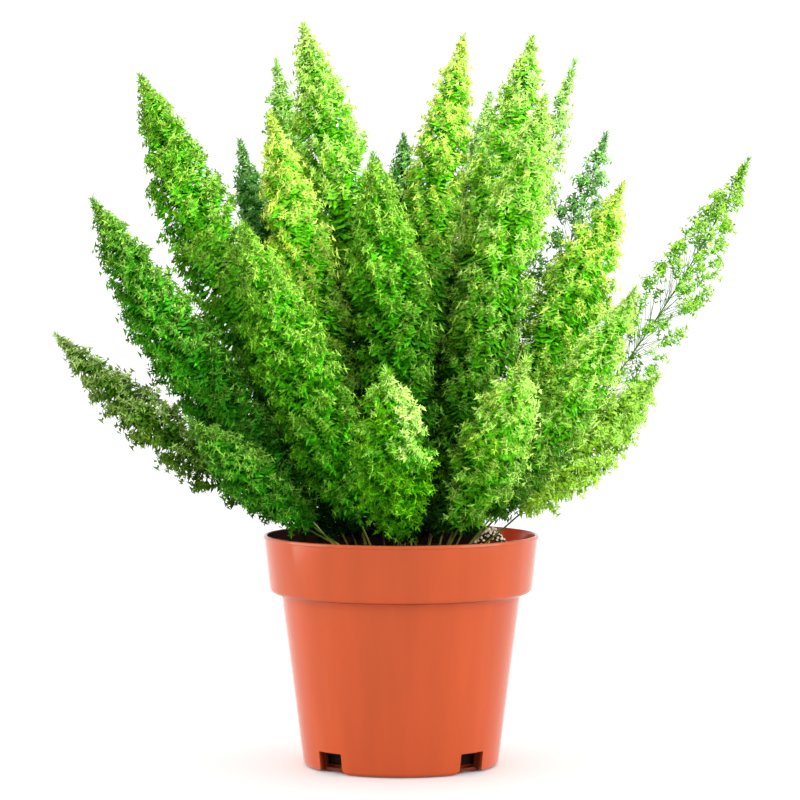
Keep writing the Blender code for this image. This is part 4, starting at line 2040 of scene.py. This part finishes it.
@dataclass(frozen=True)
class SoftBox:
    """A rectangular studio light."""

    name: str
    place: tuple[float, float, float]
    aim: tuple[float, float, float]
    size: tuple[float, float]
    power: float
    colour: Colour = (1.0, 1.0, 1.0)
    subject: Subject = Subject.FERN

    @classmethod
    def panel(cls, name: str, x: float, y: float) -> "SoftBox":
        """A weak light low down at one side, for the pot alone."""
        return cls(name, (x, y, 0.2), (0, 0, 0.1), (0.9, 0.9), 10.5, (1, 1, 0.90), Subject.POT)

    def build(self, subjects: dict[Subject, bpy.types.Collection]) -> None:
        """Puts up the light, which falls on its own subject alone.

        Args:
            subjects: The pieces of each subject.
        """
        light = bpy.data.lights.new(self.name, "AREA")
        light.shape = "RECTANGLE"
        light.size, light.size_y = self.size
        light.energy = self.power
        light.color = self.colour
        lamp = bpy.data.objects.new(self.name, light)
        lamp.location = self.place
        way = Vector(self.aim) - Vector(self.place)
        lamp.rotation_euler = way.to_track_quat("-Z", "Y").to_euler()
        lamp.visible_camera = False
        lamp.light_linking.receiver_collection = subjects[self.subject]
        if self.subject != Subject.FERN:
            lamp.light_linking.blocker_collection = subjects[self.subject]
        bpy.context.scene.collection.objects.link(lamp)


@dataclass
class Studio:
    """Pale floor, white surroundings, soft lights and the camera of the photograph."""

    camera_place: tuple[float, float, float] = (-0.00055, -1.7200, 0.2680)
    camera_pitch: float = 2.28
    lens: float = 141.7
    sensor: float = 36.0
    clip: Span = (0.05, 100.0)
    floor_size: float = 60.0
    floor_drop: float = 0.0002
    floor_colour: Colour = (0.97, 0.97, 0.97)
    floor_roughness: float = 0.8
    surroundings: float = 1.25
    lights: tuple[SoftBox, ...] = (
        SoftBox("key", (1.45, -0.65, 1.65), (0, 0, 0.25), (0.35, 0.35), 110.0, (1, 0.98, 0.93)),
        SoftBox("front", (0.4, -2.0, 0.9), (0, 0, 0.25), (1.2, 1.2), 50.0),
        SoftBox.panel("right_panel", 1.15, -0.45),
        SoftBox.panel("left_panel", -1.2, -0.15),
        SoftBox(
            "floor_fill", (0, -0.2, 1.6), (0, 0, 0), (1, 1), 4.0, (0.94, 1, 1), Subject.FLOOR
        ),
    )

    def build(self) -> None:
        """Puts up the whole studio round the finished pieces."""
        subjects = {subject: bpy.data.collections.new(subject.value) for subject in Subject}
        for piece in bpy.context.scene.objects:
            if piece.type != "MESH":
                continue
            if piece.name != "nursery_pot":
                subjects[Subject.FERN].objects.link(piece)
            if piece.name in ("nursery_pot", "perlite_grains"):
                subjects[Subject.POT].objects.link(piece)
        self.build_camera()
        subjects[Subject.FLOOR].objects.link(self.build_floor())
        self.build_surroundings()
        for light in self.lights:
            light.build(subjects)

    def build_camera(self) -> None:
        """Puts the camera where the photograph was taken from."""
        data = bpy.data.cameras.new("camera")
        data.lens = self.lens
        data.sensor_width = self.sensor
        data.clip_start, data.clip_end = self.clip
        camera = bpy.data.objects.new("camera", data)
        camera.location = self.camera_place
        camera.rotation_euler = (math.radians(90 - self.camera_pitch), 0, 0)
        bpy.context.scene.collection.objects.link(camera)
        bpy.context.scene.camera = camera

    def build_floor(self) -> bpy.types.Object:
        """Lays the pale floor.

        Returns:
            The floor.
        """
        board = Board("pale_floor")
        shader = board.surface(Base_Color=self.floor_colour, Roughness=self.floor_roughness)
        bm = bmesh.new()
        bmesh.ops.create_grid(bm, x_segments=1, y_segments=1, size=self.floor_size / 2)
        bmesh.ops.translate(bm, vec=(0, 0, -self.floor_drop), verts=bm.verts)
        floor = dressed("floor", bm, [board.finish(shader)])
        floor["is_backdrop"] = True
        return floor

    def build_surroundings(self) -> None:
        """Surrounds the scene with soft white light."""
        world = bpy.data.worlds.new("studio")
        world.use_nodes = True
        background = world.node_tree.nodes["Background"]
        background.inputs["Color"].default_value = (1.0, 1.0, 1.0, 1.0)
        background.inputs["Strength"].default_value = self.surroundings
        bpy.context.scene.world = world
        bpy.context.scene.view_settings.view_transform = "Standard"


def branchlet_kits() -> dict[Habit, BranchletKit]:
    """Makes the branchlets of each habit.
    """
    kits = {
        Habit.DENSE: BranchletKit(),
        Habit.FULL: BranchletKit(seed=7),
        Habit.OPEN: BranchletKit(old_gap=3.2, seed=4),
        Habit.LACY: BranchletKit(
            fine_needle=NeedleSize(2.6, 0.55, (52, 84)),
            tip_needle=NeedleSize(2.6, 0.50, (8, 40)),
            old_gap=99.0,
            sprig_gap=4.2,
            whorl_gap=1.35,
            seed=5,
        ),
        Habit.HIDDEN: BranchletKit(
            old_needle=NeedleSize(5.6, 3.2, (55, 85)),
            old_gap=2.3,
            sprig_gap=99.0,
            whorl_gap=2.0,
            seed=6,
        ),
    }
    for kit in kits.values():
        kit.build()
    return kits


def main() -> None:
    """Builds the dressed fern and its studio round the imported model."""
    logging.basicConfig(level=logging.INFO, format="%(message)s")
    for obj in list(bpy.data.objects):
        bpy.data.objects.remove(obj)
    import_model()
    pot = NurseryPot()
    pot.build()
    mix = PottingMix(pot)
    mix.build()
    Perlite(mix).build()
    kits = branchlet_kits()
    needles = {tone: tone.value.make() for tone in Tone}
    stem_green = StemFinish().make()
    lines = [StemLine(frond, mix) for frond in FRONDS]
    thicket = Thicket(lines)
    for number, line in enumerate(lines):
        Plume(line, thicket, kits, number, needles[line.frond.tone], stem_green).build()
    for kit in kits.values():
        kit.clear()
    Studio().build()
    faces = sum(len(obj.data.polygons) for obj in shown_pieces())
    LOG.info("all pieces: %d faces", faces)


if __name__ == "__main__":
    main()
